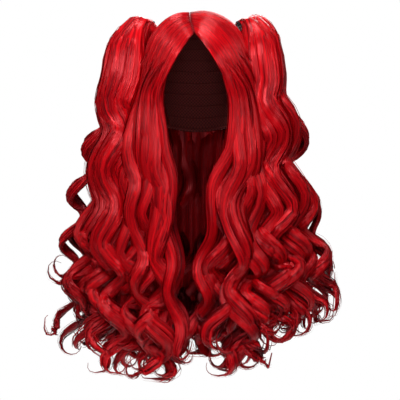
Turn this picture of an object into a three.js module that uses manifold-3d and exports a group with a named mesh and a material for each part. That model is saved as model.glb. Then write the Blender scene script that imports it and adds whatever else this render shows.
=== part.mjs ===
// Long red wig with a middle parting and two clip-on curly ponytails.
// Millimetres, +Z up, front towards -Y, origin at the inside top of the cap.

import * as THREE from "three";
import { mergeVertices } from "three/addons/utils/BufferGeometryUtils.js";
import Module from "manifold-3d";

const wasm = await Module();
wasm.setup();

// Head that the cap fits: half sizes of a rounded box, measured from a centre below the crown
const HEAD_CENTRE = new THREE.Vector3(0, 0, -105);
const HEAD_HALF_WIDTH = 76;
const HEAD_HALF_DEPTH = 97;
const HEAD_ABOVE = 105;
const HEAD_BELOW = 150;
const HEAD_POWER = 2.3;

// Layers measured outwards from the head
const CAP_WALL = 2;
const HAIR_UNDERSIDE = 4;
const HAIR_TOP = 10.5;
const HAIR_TOP_AT_PARTING = 6.5;
const PARTING_ROUNDING = 0.14;
const HAIR_END_THICKNESS = 3.5;
const GAP = 0.7;
const LOCK_GAP = 1.5;
const SLIVER = 0.3;
const WELD = 1e-3;
const ROUNDING = 1e-6;

// Cap mesh and its rim: angle round from the front, height of the rim there
const CAP_SPOKES = 24;
const CAP_RINGS = 6;
const CAP_RIM = [
  { turn: 0, z: -22 },
  { turn: 35, z: -44 },
  { turn: 65, z: -96 },
  { turn: 95, z: -136 },
  { turn: 140, z: -160 },
  { turn: 180, z: -166 },
];

// Smooth hair laid on the head: each row is one path of hair, from root through middle to end
const FRINGE_LEFT_ROWS = [
  { root: [-7, -90, -25], middle: [-31, -90, -84], end: [-62, -70, -141] },
  { root: [-11, -78, -9], middle: [-46, -80, -70], end: [-74, -58, -146] },
  { root: [-13, -48, 0], middle: [-58, -58, -58], end: [-81, -38, -146] },
  { root: [-13, -12, 2], middle: [-62, -24, -44], end: [-84, -18, -140] },
  { root: [-13, 12, 2], middle: [-62, 8, -36], end: [-85, -2, -132] },
];
const FRINGE_RIGHT_ROWS = [
  { root: [0, -90, -25], middle: [26, -90, -84], end: [57, -72, -140] },
  { root: [-6, -78, -9], middle: [42, -80, -70], end: [71, -60, -146] },
  { root: [-8, -48, 0], middle: [55, -58, -58], end: [80, -40, -146] },
  { root: [-8, -12, 2], middle: [60, -24, -44], end: [84, -18, -140] },
  { root: [-8, 12, 2], middle: [61, 8, -36], end: [85, -2, -132] },
];
const CROWN_ROWS = [
  { root: [-13, 14, 2], middle: [-62, 14, -36], end: [-85, 6, -136] },
  { root: [-12, 18, 2], middle: [-54, 62, -44], end: [-70, 62, -152] },
  { root: [-10, 22, 2], middle: [-4, 92, -50], end: [0, 98, -160] },
  { root: [-9, 18, 2], middle: [50, 62, -44], end: [70, 62, -152] },
  { root: [-8, 14, 2], middle: [61, 14, -36], end: [85, 6, -136] },
];
const FRINGE_ACROSS = 6;
const CROWN_ACROSS = 14;
const LAID_ALONG = 9;
const EDGE = 0.499;
const EDGE_INSET = 0.1;

// Locks: sections across and along, where the wave grows and where it tightens into a ringlet
const LOCK_SIDES = 4;
const CORE_SIDES = 6;
const CORE_STEPS = 7;
const PONYTAIL_STEPS = 19;
const FRONT_STEPS = 16;
const BACK_STEPS = 13;
const GUIDE_POINTS = 170;
const STEPS_PER_TURN_WEIGHT = 0.28;
const WAVE_GROWTH = 90;
const RINGLET_FROM = 0.5;
const RINGLET_OVER = 0.35;
const KNEE_Z = -270;
const ROOT_SHARE = 0.32;
const ROOT_TAPER = 0.2;
const TIP_SHARE = 0.4;
const TIP_FROM = 0.84;

// Ponytails: crest beyond the tie, then hip, knee and foot of the line that a lock winds round.
// bulge is a height where it swings furthest out, wave and curl are how far, pitch and coil how long.
const TIE_LEFT = new THREE.Vector3(-72, 10, -20);
const TIE_RIGHT = new THREE.Vector3(67, 10, -20);
const PONYTAIL_WAVE_FROM = -70;
const CREST_SPREAD = 0.4;
const GATHER_RADIUS = 10;
const GATHER_LENGTH = 14;
const GATHER_LIFT = 3;
const GATHER_SIDES = 10;
const PONYTAIL_LEFT_CORE = {
  out: 16, up: 11, hip: [-114, 6, -92], kneeX: -134, foot: [-148, 6, -452],
  bulge: -200, wave: 0, pitch: 400, curl: 0, coil: 400, hand: 1, width: 44, depth: 60 };
const PONYTAIL_LEFT_LOCKS = [
  { out: 30, up: 14, hip: [-134, 6, -105], kneeX: -172, foot: [-184, 8, -432],
    bulge: -264, wave: 9, pitch: 74, curl: 17, coil: 62, hand: 1, width: 22, depth: 22 },
  { out: 25, up: 15, hip: [-128, -18, -98], kneeX: -154, foot: [-188, -26, -446],
    bulge: -384, wave: 9, pitch: 104, curl: 24, coil: 58, hand: -1, width: 32, depth: 22 },
  { out: 17, up: 15, hip: [-116, -30, -96], kneeX: -138, foot: [-166, -40, -486],
    bulge: -412, wave: 11, pitch: 100, curl: 25, coil: 58, hand: 1, width: 34, depth: 22 },
  { out: 9, up: 13, hip: [-108, -18, -92], kneeX: -122, foot: [-132, -30, -520],
    bulge: -495, wave: 12, pitch: 105, curl: 22, coil: 62, hand: -1, width: 36, depth: 26 },
  { out: 18, up: 14, hip: [-116, 36, -96], kneeX: -138, foot: [-152, 42, -484],
    bulge: -190, wave: 11, pitch: 104, curl: 20, coil: 68, hand: -1, width: 52, depth: 28 },
];
const PONYTAIL_RIGHT_CORE = {
  out: 16, up: 10, hip: [102, 6, -82], kneeX: 128, foot: [146, 6, -436],
  bulge: -200, wave: 0, pitch: 400, curl: 0, coil: 400, hand: 1, width: 44, depth: 60 };
const PONYTAIL_RIGHT_LOCKS = [
  { out: 31, up: 13, hip: [119, 6, -62], kneeX: 158, foot: [180, 8, -425],
    bulge: -173, wave: 12, pitch: 108, curl: 18, coil: 78, hand: 1, width: 24, depth: 22 },
  { out: 25, up: 13, hip: [112, -20, -75], kneeX: 150, foot: [184, -28, -462],
    bulge: -441, wave: 10, pitch: 104, curl: 29, coil: 58, hand: -1, width: 30, depth: 22 },
  { out: 17, up: 13, hip: [104, -30, -80], kneeX: 132, foot: [154, -40, -480],
    bulge: -380, wave: 12, pitch: 104, curl: 25, coil: 58, hand: 1, width: 34, depth: 22 },
  { out: 8, up: 12, hip: [96, -19, -84], kneeX: 115, foot: [129, -31, -475],
    bulge: -234, wave: 12, pitch: 104, curl: 22, coil: 62, hand: -1, width: 36, depth: 26 },
  { out: 18, up: 13, hip: [106, 36, -80], kneeX: 134, foot: [152, 42, -466],
    bulge: -180, wave: 11, pitch: 104, curl: 20, coil: 68, hand: -1, width: 52, depth: 28 },
];

// Long locks that hang from the cap: root, hip, knee and foot, then the same columns
const HANGING_WAVE_FROM = -170;
const WEFT_SHARE = 0.3;
const WEFT_DEPTH = 9;
const WEFT_ALONG = 6;
const FRONT_LEFT_LOCKS = [
  { root: [-74, -66, -90], hip: [-74, -88, -165], kneeX: -44, foot: [-40, -92, -490],
    bulge: -368, wave: 5, pitch: 76, curl: 8, coil: 72, hand: 1, width: 24, depth: 14 },
  { root: [-77, -54, -88], hip: [-80, -84, -165], kneeX: -62, foot: [-56, -98, -508],
    bulge: -292, wave: 9, pitch: 122, curl: 26, coil: 118, hand: -1, width: 30, depth: 15 },
  { root: [-80, -36, -88], hip: [-88, -64, -170], kneeX: -82, foot: [-62, -88, -532],
    bulge: -470, wave: 11, pitch: 120, curl: 26, coil: 76, hand: 1, width: 30, depth: 16 },
  { root: [-82, -16, -88], hip: [-90, -48, -180], kneeX: -86, foot: [-84, -74, -516],
    bulge: -300, wave: 9, pitch: 120, curl: 18, coil: 74, hand: -1, width: 30, depth: 18 },
];
const FRONT_RIGHT_LOCKS = [
  { root: [74, -66, -90], hip: [72, -88, -160], kneeX: 24, foot: [8, -92, -486],
    bulge: -372, wave: 6, pitch: 130, curl: 14, coil: 66, hand: 1, width: 26, depth: 14 },
  { root: [77, -54, -88], hip: [78, -84, -165], kneeX: 62, foot: [66, -98, -524],
    bulge: -318, wave: 15, pitch: 140, curl: 25, coil: 92, hand: -1, width: 30, depth: 15 },
  { root: [80, -36, -88], hip: [84, -66, -170], kneeX: 50, foot: [40, -94, -498],
    bulge: -388, wave: 11, pitch: 130, curl: 28, coil: 80, hand: 1, width: 30, depth: 16 },
  { root: [82, -16, -88], hip: [88, -48, -180], kneeX: 80, foot: [78, -74, -518],
    bulge: -300, wave: 9, pitch: 120, curl: 18, coil: 74, hand: -1, width: 30, depth: 18 },
];
const BACK_LOCKS = [
  { root: [-70, 62, -134], hip: [-74, 72, -200], kneeX: -72, foot: [-66, 76, -488],
    bulge: -250, wave: 10, pitch: 120, curl: 18, coil: 84, hand: 1, width: 42, depth: 20 },
  { root: [-30, 100, -142], hip: [-28, 106, -200], kneeX: -26, foot: [-24, 100, -504],
    bulge: -290, wave: 11, pitch: 120, curl: 18, coil: 84, hand: -1, width: 44, depth: 20 },
  { root: [30, 100, -142], hip: [28, 106, -200], kneeX: 26, foot: [24, 100, -504],
    bulge: -250, wave: 11, pitch: 120, curl: 18, coil: 84, hand: 1, width: 44, depth: 20 },
  { root: [70, 62, -134], hip: [74, 72, -200], kneeX: 72, foot: [66, 76, -488],
    bulge: -290, wave: 10, pitch: 120, curl: 18, coil: 84, hand: -1, width: 42, depth: 20 },
];

// Claw clip: a band that curves round the tie, open below, with a hinge barrel on its upper side
const PONYTAIL_RISE = 0.58;
const CLIP_RADIUS = 13.2;
const CLIP_WALL = 2.4;
const CLIP_BAND = 10;
const CLIP_OPENING = 1.1;
const CLIP_LIFT = 1.5;
const CLIP_SIDES = 6;
const CLIP_STEPS = 11;
const CLIP_BARREL_RADIUS = 3;
const CLIP_BARREL_LENGTH = 17;

const HAIR_RED = 0xc4141c;
const HAIR_ROUGHNESS = 0.42;
const CAP_COLOUR = 0x24100f;
const CLOTH_ROUGHNESS = 0.9;
const CLIP_BLACK = 0x141416;
const CLIP_ROUGHNESS = 0.25;

const vec = (xyz) => new THREE.Vector3(...xyz);
const smoothstep = THREE.MathUtils.smoothstep;
const lerp = THREE.MathUtils.lerp;

// Head form

function headRadius(direction, offset) {
  const vertical = direction.z > 0 ? HEAD_ABOVE : HEAD_BELOW;
  const sum =
    Math.abs(direction.x / (HEAD_HALF_WIDTH + offset)) ** HEAD_POWER +
    Math.abs(direction.y / (HEAD_HALF_DEPTH + offset)) ** HEAD_POWER +
    Math.abs(direction.z / (vertical + offset)) ** HEAD_POWER;
  return sum ** (-1 / HEAD_POWER);
}

function onHead(direction, offset) {
  const unit = direction.clone().normalize();
  return unit.multiplyScalar(headRadius(unit, offset)).add(HEAD_CENTRE);
}

// Solids: closing, joining and cutting

function closed(geometry) {
  const bare = geometry.clone();
  bare.deleteAttribute("normal");
  bare.deleteAttribute("uv");
  return mergeVertices(bare, WELD);
}

function toSolid(geometry) {
  const mesh = closed(geometry);
  const points = new Float32Array(mesh.attributes.position.array);
  const corners = new Uint32Array(mesh.index.array);
  let volume = 0;
  const a = new THREE.Vector3();
  const b = new THREE.Vector3();
  const c = new THREE.Vector3();
  for (let i = 0; i < corners.length; i += 3) {
    a.fromArray(points, corners[i] * 3);
    b.fromArray(points, corners[i + 1] * 3);
    c.fromArray(points, corners[i + 2] * 3);
    volume += a.dot(b.cross(c));
  }
  if (volume < 0) {
    for (let i = 0; i < corners.length; i += 3) {
      [corners[i + 1], corners[i + 2]] = [corners[i + 2], corners[i + 1]];
    }
  }
  return new wasm.Manifold(new wasm.Mesh({ numProp: 3, vertProperties: points, triVerts: corners }));
}

function join(solids) {
  return wasm.Manifold.union(solids);
}

function largestBody(solid) {
  return solid.decompose().reduce((big, body) => (body.volume() > big.volume() ? body : big));
}

function toGeometry(solid) {
  const mesh = solid.getMesh();
  const geometry = new THREE.BufferGeometry();
  const position = new THREE.Float32BufferAttribute(mesh.vertProperties, mesh.numProp);
  geometry.setAttribute("position", position);
  geometry.setIndex(Array.from(mesh.triVerts));
  return geometry;
}

// Cuts a solid clear of its neighbours, welds it and drops loose scraps, slivers and sealed pockets
function clearOf(solid, neighbours) {
  const cut = largestBody(solid.subtract(join(neighbours))).simplify(SLIVER);
  return largestBody(toSolid(toGeometry(cut)));
}

function toMesh(name, solid, colour, roughness) {
  const geometry = toGeometry(solid);
  geometry.computeVertexNormals();
  const material = new THREE.MeshStandardMaterial({ color: colour, roughness, metalness: 0 });
  const node = new THREE.Mesh(geometry, material);
  node.name = name;
  return node;
}

// Moves every vertex of a geometry to the place that a function gives for it
function remap(geometry, place) {
  const position = geometry.attributes.position;
  const from = new THREE.Vector3();
  for (let i = 0; i < position.count; i++) {
    from.fromBufferAttribute(position, i);
    const to = place(from);
    position.setXYZ(i, to.x, to.y, to.z);
  }
  return geometry;
}

// Cap

function rimHeight(turn) {
  const angle = Math.abs(THREE.MathUtils.radToDeg(turn));
  const next = Math.max(1, CAP_RIM.findIndex((row) => row.turn >= angle - ROUNDING));
  const low = CAP_RIM[next - 1];
  const high = CAP_RIM[next];
  return lerp(low.z, high.z, smoothstep(angle, low.turn, high.turn));
}

// Angle down from the crown to the rim, at one turn round the head
function rimAngle(turn) {
  const rise = rimHeight(turn) - HEAD_CENTRE.z;
  const vertical = rise > 0 ? HEAD_ABOVE : HEAD_BELOW;
  const spoke =
    Math.abs(Math.sin(turn) / HEAD_HALF_WIDTH) ** HEAD_POWER +
    Math.abs(Math.cos(turn) / HEAD_HALF_DEPTH) ** HEAD_POWER;
  const reach = ((1 - Math.abs(rise / vertical) ** HEAD_POWER) / spoke) ** (1 / HEAD_POWER);
  return Math.atan2(reach, rise);
}

function capSolid(inner, outer, rimExtra) {
  const profile = [];
  for (let i = 0; i <= CAP_RINGS; i++) {
    profile.push(new THREE.Vector2(i, 1));
  }
  for (let i = CAP_RINGS; i >= 0; i--) {
    profile.push(new THREE.Vector2(i, 0));
  }
  const geometry = new THREE.LatheGeometry(profile, CAP_SPOKES);
  remap(geometry, (from) => {
    const ring = Math.hypot(from.x, from.z) / CAP_RINGS;
    const turn = Math.atan2(from.x, from.z);
    const fall = ring * (rimAngle(turn) + rimExtra);
    const direction = new THREE.Vector3(
      Math.sin(fall) * Math.sin(turn),
      -Math.sin(fall) * Math.cos(turn),
      Math.cos(fall),
    );
    return onHead(direction, from.y > 0.5 ? outer : inner);
  });
  return toSolid(geometry);
}

// Hair laid on the head

function laidHair(rows, steps, extra) {
  const across = (key) => {
    const places = rows.map((row) => vec(row[key]));
    return new THREE.CatmullRomCurve3(places, false, "centripetal");
  };
  const curves = { root: across("root"), middle: across("middle"), end: across("end") };
  const pathPoint = (u, v) =>
    new THREE.QuadraticBezierCurve3(
      curves.root.getPoint(v),
      curves.middle.getPoint(v),
      curves.end.getPoint(v),
    ).getPoint(u);
  // Moves a point on an edge of the sheet outwards by the extra
  const beyond = (edge, u, v, insideU, insideV) =>
    edge ? pathPoint(u, v).sub(pathPoint(insideU, insideV)).setLength(extra) : new THREE.Vector3();
  const geometry = new THREE.BoxGeometry(1, 1, 1, steps, LAID_ALONG, 1);
  remap(geometry, (from) => {
    const v = from.x + 0.5;
    const u = 0.5 - from.y;
    const alongEdge = beyond(Math.abs(from.y) > EDGE, u, v, lerp(u, 0.5, EDGE_INSET), v);
    const acrossEdge = beyond(Math.abs(from.x) > EDGE, u, v, u, lerp(v, 0.5, EDGE_INSET));
    const direction = pathPoint(u, v).add(alongEdge).add(acrossEdge).sub(HEAD_CENTRE);
    const crest = lerp(HAIR_TOP_AT_PARTING, HAIR_TOP, smoothstep(u, 0, PARTING_ROUNDING));
    const top = lerp(crest, HAIR_UNDERSIDE + HAIR_END_THICKNESS, smoothstep(u, TIP_FROM, 1));
    return onHead(direction, from.z > 0 ? top + extra : HAIR_UNDERSIDE - extra);
  });
  return toSolid(geometry);
}

// Locks

function heightIndex(line, z) {
  const crest = line.reduce((best, point, i) => (point.z > line[best].z ? i : best), 0);
  const passed = line.findIndex((point, i) => i >= crest && point.z <= z);
  return passed < 0 ? line.length - 1 : passed;
}

// Line that winds round the spine: waves from the given height down, tightening to a ringlet
function lockGuide(spine, row, outward, waveFrom) {
  const line = new THREE.CatmullRomCurve3(spine, false, "centripetal").getSpacedPoints(GUIDE_POINTS);
  const along = [0];
  for (let i = 1; i < line.length; i++) {
    along.push(along[i - 1] + line[i].distanceTo(line[i - 1]));
  }
  const total = along[GUIDE_POINTS];
  const tight = (i) => smoothstep(along[i] / total, RINGLET_FROM, RINGLET_FROM + RINGLET_OVER);
  const turns = [0];
  for (let i = 1; i < line.length; i++) {
    const turnLength = lerp(row.pitch, row.coil, tight(i));
    turns.push(turns[i - 1] + (2 * Math.PI * (along[i] - along[i - 1])) / turnLength);
  }
  const zero = turns[heightIndex(line, row.bulge)];
  const begin = along[heightIndex(line, waveFrom)];
  const points = line.map((point, i) => {
    const swing = lerp(row.wave, row.curl, tight(i)) * smoothstep(along[i] - begin, 0, WAVE_GROWTH);
    const turn = turns[i] - zero;
    return point
      .clone()
      .add(new THREE.Vector3(outward * swing * Math.cos(turn), row.hand * swing * Math.sin(turn), 0));
  });
  const pace = along.map((s, i) => s / total + (STEPS_PER_TURN_WEIGHT * turns[i]) / (2 * Math.PI));
  return { points, pace };
}

// Share of the length at one step, with the steps closer where the lock turns more
function pacedShare(guide, step) {
  const wanted = step * guide.pace[GUIDE_POINTS];
  const next = Math.max(1, guide.pace.findIndex((pace) => pace >= wanted - ROUNDING));
  const low = guide.pace[next - 1];
  return (next - 1 + (wanted - low) / (guide.pace[next] - low)) / GUIDE_POINTS;
}

function lockShare(t) {
  const root = lerp(ROOT_SHARE, 1, smoothstep(t, 0, ROOT_TAPER));
  return root * lerp(1, TIP_SHARE, smoothstep(t, TIP_FROM, 1));
}

// Sample of a guide at a share of its length, with its tangent
function guideAt({ points }, t) {
  const at = t * GUIDE_POINTS;
  const low = Math.min(Math.floor(at), GUIDE_POINTS - 1);
  const point = points[low].clone().lerp(points[low + 1], at - low);
  const before = points[Math.max(low - 1, 0)];
  const after = points[Math.min(low + 2, GUIDE_POINTS)];
  return { point, tangent: after.clone().sub(before).normalize() };
}

// How far a point on either end of a lock or weft moves out along it
function endward(from, extra) {
  return Math.abs(from.y) > EDGE ? -Math.sign(from.y) * extra : 0;
}

function lockSolid(guide, row, sides, steps, extra) {
  const geometry = new THREE.CylinderGeometry(1, 1, 1, sides, steps, false);
  const depthwise = new THREE.Vector3(0, 1, 0);
  remap(geometry, (from) => {
    const t = pacedShare(guide, 0.5 - from.y);
    const { point, tangent } = guideAt(guide, t);
    const thin = depthwise.clone().addScaledVector(tangent, -depthwise.dot(tangent)).normalize();
    const wide = thin.clone().cross(tangent);
    const share = lockShare(t);
    return point
      .addScaledVector(tangent, endward(from, extra))
      .addScaledVector(wide, from.x * (share * row.width * 0.5 + extra))
      .addScaledVector(thin, from.z * (share * row.depth * 0.5 + extra));
  });
  return toSolid(geometry);
}

function ponytailGuides(tie, rows, outward) {
  return rows.map((row) => {
    const hip = vec(row.hip);
    const foot = vec(row.foot);
    const crestY = lerp(tie.y, hip.y, CREST_SPREAD);
    const crest = new THREE.Vector3(tie.x + outward * row.out, crestY, tie.z + row.up);
    const knee = new THREE.Vector3(row.kneeX, (hip.y + foot.y) / 2, KNEE_Z);
    return lockGuide([tie, crest, hip, knee, foot], row, outward, PONYTAIL_WAVE_FROM);
  });
}

function hangingGuides(rows) {
  return rows.map((row) => {
    const hip = vec(row.hip);
    const foot = vec(row.foot);
    const knee = new THREE.Vector3(row.kneeX, (hip.y + foot.y) / 2, KNEE_Z);
    return lockGuide([vec(row.root), hip, knee, foot], row, Math.sign(row.root[0]), HANGING_WAVE_FROM);
  });
}

// Weft: a bent sheet through the upper part of neighbouring locks, which fuses them
function weftSolid(guides, extra) {
  const geometry = new THREE.BoxGeometry(1, 1, 1, guides.length - 1, WEFT_ALONG, 1);
  remap(geometry, (from) => {
    const v = Math.round((from.x + 0.5) * (guides.length - 1));
    const t = (0.5 - from.y) * WEFT_SHARE;
    const { point, tangent } = guideAt(guides[v], t);
    const left = guideAt(guides[Math.max(v - 1, 0)], t).point;
    const right = guideAt(guides[Math.min(v + 1, guides.length - 1)], t).point;
    const normal = right.sub(left).cross(tangent).normalize();
    return point
      .addScaledVector(tangent, endward(from, extra))
      .addScaledVector(normal, from.z * (WEFT_DEPTH + 2 * extra));
  });
  return toSolid(geometry);
}

function lockSolids(guides, rows, steps, extra) {
  return guides.map((guide, i) => lockSolid(guide, rows[i], LOCK_SIDES, steps, extra));
}

function hangingHair(rows, steps, extra) {
  const guides = hangingGuides(rows);
  return join([weftSolid(guides, extra), ...lockSolids(guides, rows, steps, extra)]);
}

// Frame at a tie: x runs front to back, y points up the head, z is the way the ponytail leaves
function tieFrame(tie, outward) {
  const leave = new THREE.Vector3(outward, 0, PONYTAIL_RISE).normalize();
  const back = new THREE.Vector3(0, outward, 0);
  const up = leave.clone().cross(back);
  return new THREE.Matrix4().makeBasis(back, up, leave).setPosition(tie);
}

function ponytail(tie, core, rows, outward) {
  const gather = new THREE.CylinderGeometry(GATHER_RADIUS, GATHER_RADIUS, GATHER_LENGTH, GATHER_SIDES, 1);
  gather.rotateX(Math.PI / 2).translate(0, 0, GATHER_LIFT).applyMatrix4(tieFrame(tie, outward));
  const [coreGuide] = ponytailGuides(tie, [core], outward);
  const guides = ponytailGuides(tie, rows, outward);
  return join([
    toSolid(gather),
    lockSolid(coreGuide, core, CORE_SIDES, CORE_STEPS, 0),
    ...lockSolids(guides, rows, PONYTAIL_STEPS, 0),
  ]);
}

function clawClip(tie, outward, extra) {
  const band = new THREE.CylinderGeometry(1, 1, 1, CLIP_SIDES, CLIP_STEPS, false);
  remap(band, (from) => {
    const turn = CLIP_OPENING / 2 - Math.PI / 2 + (from.y + 0.5) * (2 * Math.PI - CLIP_OPENING);
    const radius = CLIP_RADIUS + from.x * (CLIP_WALL / 2 + extra);
    const level = CLIP_LIFT + from.z * (CLIP_BAND / 2 + extra);
    return new THREE.Vector3(radius * Math.cos(turn), radius * Math.sin(turn), level);
  });
  const barrelRadius = CLIP_BARREL_RADIUS + extra;
  const barrel = new THREE.CylinderGeometry(
    barrelRadius, barrelRadius, CLIP_BARREL_LENGTH + 2 * extra, GATHER_SIDES, 1,
  );
  barrel.rotateZ(Math.PI / 2).translate(0, CLIP_RADIUS + CLIP_WALL / 2, CLIP_LIFT);
  const frame = tieFrame(tie, outward);
  return join([toSolid(band.applyMatrix4(frame)), toSolid(barrel.applyMatrix4(frame))]);
}

// Pieces, each cut clear of the ones before it

const capSpace = capSolid(-GAP, CAP_WALL + GAP, GAP / HEAD_HALF_WIDTH);
const fringeSpace = [
  laidHair(FRINGE_LEFT_ROWS, FRINGE_ACROSS, GAP),
  laidHair(FRINGE_RIGHT_ROWS, FRINGE_ACROSS, GAP),
];
const crownSpace = laidHair(CROWN_ROWS, CROWN_ACROSS, GAP);
const clipSpaceLeft = clawClip(TIE_LEFT, -1, GAP);
const clipSpaceRight = clawClip(TIE_RIGHT, 1, GAP);
const frontSpaceLeft = hangingHair(FRONT_LEFT_LOCKS, FRONT_STEPS, LOCK_GAP);
const frontSpaceRight = hangingHair(FRONT_RIGHT_LOCKS, FRONT_STEPS, LOCK_GAP);
const backSpace = hangingHair(BACK_LOCKS, BACK_STEPS, LOCK_GAP);
const headSpace = [capSpace, crownSpace, ...fringeSpace];

const cap = capSolid(0, CAP_WALL, 0);
const fringeLeft = clearOf(laidHair(FRINGE_LEFT_ROWS, FRINGE_ACROSS, 0), [capSpace]);
const fringeRight = clearOf(laidHair(FRINGE_RIGHT_ROWS, FRINGE_ACROSS, 0), [capSpace]);
const crown = clearOf(laidHair(CROWN_ROWS, CROWN_ACROSS, 0), [capSpace, ...fringeSpace]);
const clipLeft = clearOf(clawClip(TIE_LEFT, -1, 0), headSpace);
const clipRight = clearOf(clawClip(TIE_RIGHT, 1, 0), headSpace);
const frontLeft = clearOf(hangingHair(FRONT_LEFT_LOCKS, FRONT_STEPS, 0), headSpace);
const frontRight = clearOf(hangingHair(FRONT_RIGHT_LOCKS, FRONT_STEPS, 0), headSpace);
const back = clearOf(
  hangingHair(BACK_LOCKS, BACK_STEPS, 0),
  [...headSpace, frontSpaceLeft, frontSpaceRight],
);
const ponytailLeft = clearOf(
  ponytail(TIE_LEFT, PONYTAIL_LEFT_CORE, PONYTAIL_LEFT_LOCKS, -1),
  [...headSpace, clipSpaceLeft, frontSpaceLeft, backSpace],
);
const ponytailRight = clearOf(
  ponytail(TIE_RIGHT, PONYTAIL_RIGHT_CORE, PONYTAIL_RIGHT_LOCKS, 1),
  [...headSpace, clipSpaceRight, frontSpaceRight, backSpace],
);

const wig = new THREE.Group();
wig.name = "ponytail_wig";
wig.add(
  toMesh("wig_cap", cap, CAP_COLOUR, CLOTH_ROUGHNESS),
  toMesh("fringe_left", fringeLeft, HAIR_RED, HAIR_ROUGHNESS),
  toMesh("fringe_right", fringeRight, HAIR_RED, HAIR_ROUGHNESS),
  toMesh("crown_hair", crown, HAIR_RED, HAIR_ROUGHNESS),
  toMesh("front_hair_left", frontLeft, HAIR_RED, HAIR_ROUGHNESS),
  toMesh("front_hair_right", frontRight, HAIR_RED, HAIR_ROUGHNESS),
  toMesh("back_hair", back, HAIR_RED, HAIR_ROUGHNESS),
  toMesh("ponytail_left", ponytailLeft, HAIR_RED, HAIR_ROUGHNESS),
  toMesh("ponytail_right", ponytailRight, HAIR_RED, HAIR_ROUGHNESS),
  toMesh("ponytail_clip_left", clipLeft, CLIP_BLACK, CLIP_ROUGHNESS),
  toMesh("ponytail_clip_right", clipRight, CLIP_BLACK, CLIP_ROUGHNESS),
);

export default wig;
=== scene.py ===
"""Red wig with a middle parting and two clip-on curly ponytails: its looks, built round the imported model.

Sizes are in millimetres in the part's frame: +Z up, front towards -Y, origin at the inside top of the cap.
A place along a lock, path or sheet is a share of it, from 0 at the root to 1 at the end. A SPAN is a pair
of places, between which something sets in smoothly. A PROFILE is a row of places and a row of sizes there.
A RANGE is the least and most of a random draw. A WANDER is a number of knots and the size of their drift.
"""
import math

import bpy
import numpy as np
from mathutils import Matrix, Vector


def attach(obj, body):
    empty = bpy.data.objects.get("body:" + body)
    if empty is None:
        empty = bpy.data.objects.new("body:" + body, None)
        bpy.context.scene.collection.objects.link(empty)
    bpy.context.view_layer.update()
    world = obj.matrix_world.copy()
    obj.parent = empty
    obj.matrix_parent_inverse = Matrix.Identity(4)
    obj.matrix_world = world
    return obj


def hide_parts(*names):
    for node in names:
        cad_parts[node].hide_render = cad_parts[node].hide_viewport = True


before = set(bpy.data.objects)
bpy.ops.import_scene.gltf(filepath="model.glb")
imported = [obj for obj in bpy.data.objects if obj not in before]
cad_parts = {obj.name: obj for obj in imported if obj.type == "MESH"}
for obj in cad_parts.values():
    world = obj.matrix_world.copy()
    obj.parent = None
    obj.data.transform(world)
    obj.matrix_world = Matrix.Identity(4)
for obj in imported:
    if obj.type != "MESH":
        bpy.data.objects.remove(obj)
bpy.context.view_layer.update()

MM = 0.001
SEED = 20
rng = np.random.default_rng(SEED)

# Head and the layers of hair on it, as in the part; the top is lower at the parting
HEAD_CENTRE = np.array([0.0, 0.0, -105.0])
HEAD_HALF_WIDTH = 76.0
HEAD_HALF_DEPTH = 97.0
HEAD_ABOVE = 105.0
HEAD_BELOW = 150.0
HEAD_POWER = 2.3
CAP_WALL = 2.0
HAIR_UNDERSIDE = 4.0
HANGING_LAYER = 6.0
HAIR_TOP = (8.0, 10.5)
PARTING_SPAN = (0.0, 0.14)

# Cap: degrees round from the front and height of the rim there, then the net and the seams inside it, with
# their numbers of threads across and along
CAP_RIM_PROFILE = ((0, 35, 65, 95, 140, 180), (-22, -44, -96, -136, -160, -166))
CAP_SPOKES = 120
CAP_RINGS = 48
CAP_POLE = 0.012
CAP_INSIDE = 0.4
CAP_THREADS = (60, 22)
WEFT_ROWS = 11
WEFT = dict(offset=0.3, halves=(1.5, 0.8))
HEM = dict(offset=0.5, halves=(3.2, 1.1))
HEM_LEVEL = 0.985
SEAM_SIDES = 8
SEAM_THREADS = (2, 60)

# Smooth hair laid on the head: root, middle and end of each path
FRINGE_LEFT_ROWS = [
    ((-5, -90, -25), (-31, -90, -84), (-62, -70, -141)),
    ((-9, -78, -9), (-46, -80, -70), (-74, -58, -146)),
    ((-10.8, -48, 0), (-58, -58, -58), (-81, -38, -146)),
    ((-10.8, -12, 2), (-62, -24, -44), (-84, -18, -140)),
    ((-10.8, 12, 2), (-62, 8, -36), (-85, -2, -132)),
]
FRINGE_RIGHT_ROWS = [
    ((-3, -90, -25), (26, -90, -84), (57, -72, -140)),
    ((-8.2, -78, -9), (42, -80, -70), (71, -60, -146)),
    ((-10.2, -48, 0), (55, -58, -58), (80, -40, -146)),
    ((-10.2, -12, 2), (60, -24, -44), (84, -18, -140)),
    ((-10.2, 12, 2), (61, 8, -36), (85, -2, -132)),
]
CROWN_ROWS = [
    ((-11.5, 13, 2), (-62, 9, -36), (-85, -1, -134)),
    ((-12, 18, 2), (-54, 62, -44), (-70, 62, -152)),
    ((-10, 22, 2), (-4, 92, -50), (0, 98, -160)),
    ((-9, 18, 2), (50, 62, -44), (70, 62, -152)),
    ((-9.6, 13, 2), (61, 9, -36), (85, -1, -134)),
]
FRINGE = dict(strands=250, sheet_across=40, longest=1.05)
CROWN = dict(strands=520, sheet_across=90, longest=1.04)
# Painted shade: laid hair and its sheet are darkened towards the parting
ROOT_PAINTED_SHADE = 0.75
ROOT_SHADE_SPAN = (0.0, 0.035)

# Backing sheet under the laid strands, which sinks less at the parting
SHEET_STEPS = 30
SHEET_ALONG = (-0.02, 0.97)
SHEET_ACROSS = (0.01, 0.99)
SHEET_SINK = (0.8, 2.0)
SHEET_SINK_SPAN = (-0.02, 0.03)
SHEET_EDGE = 1.0
SHEET_EDGE_SPAN = (0.8, 1.0)
RIPPLE = 0.35
RIPPLE_WAVES = (173, 61)

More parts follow.
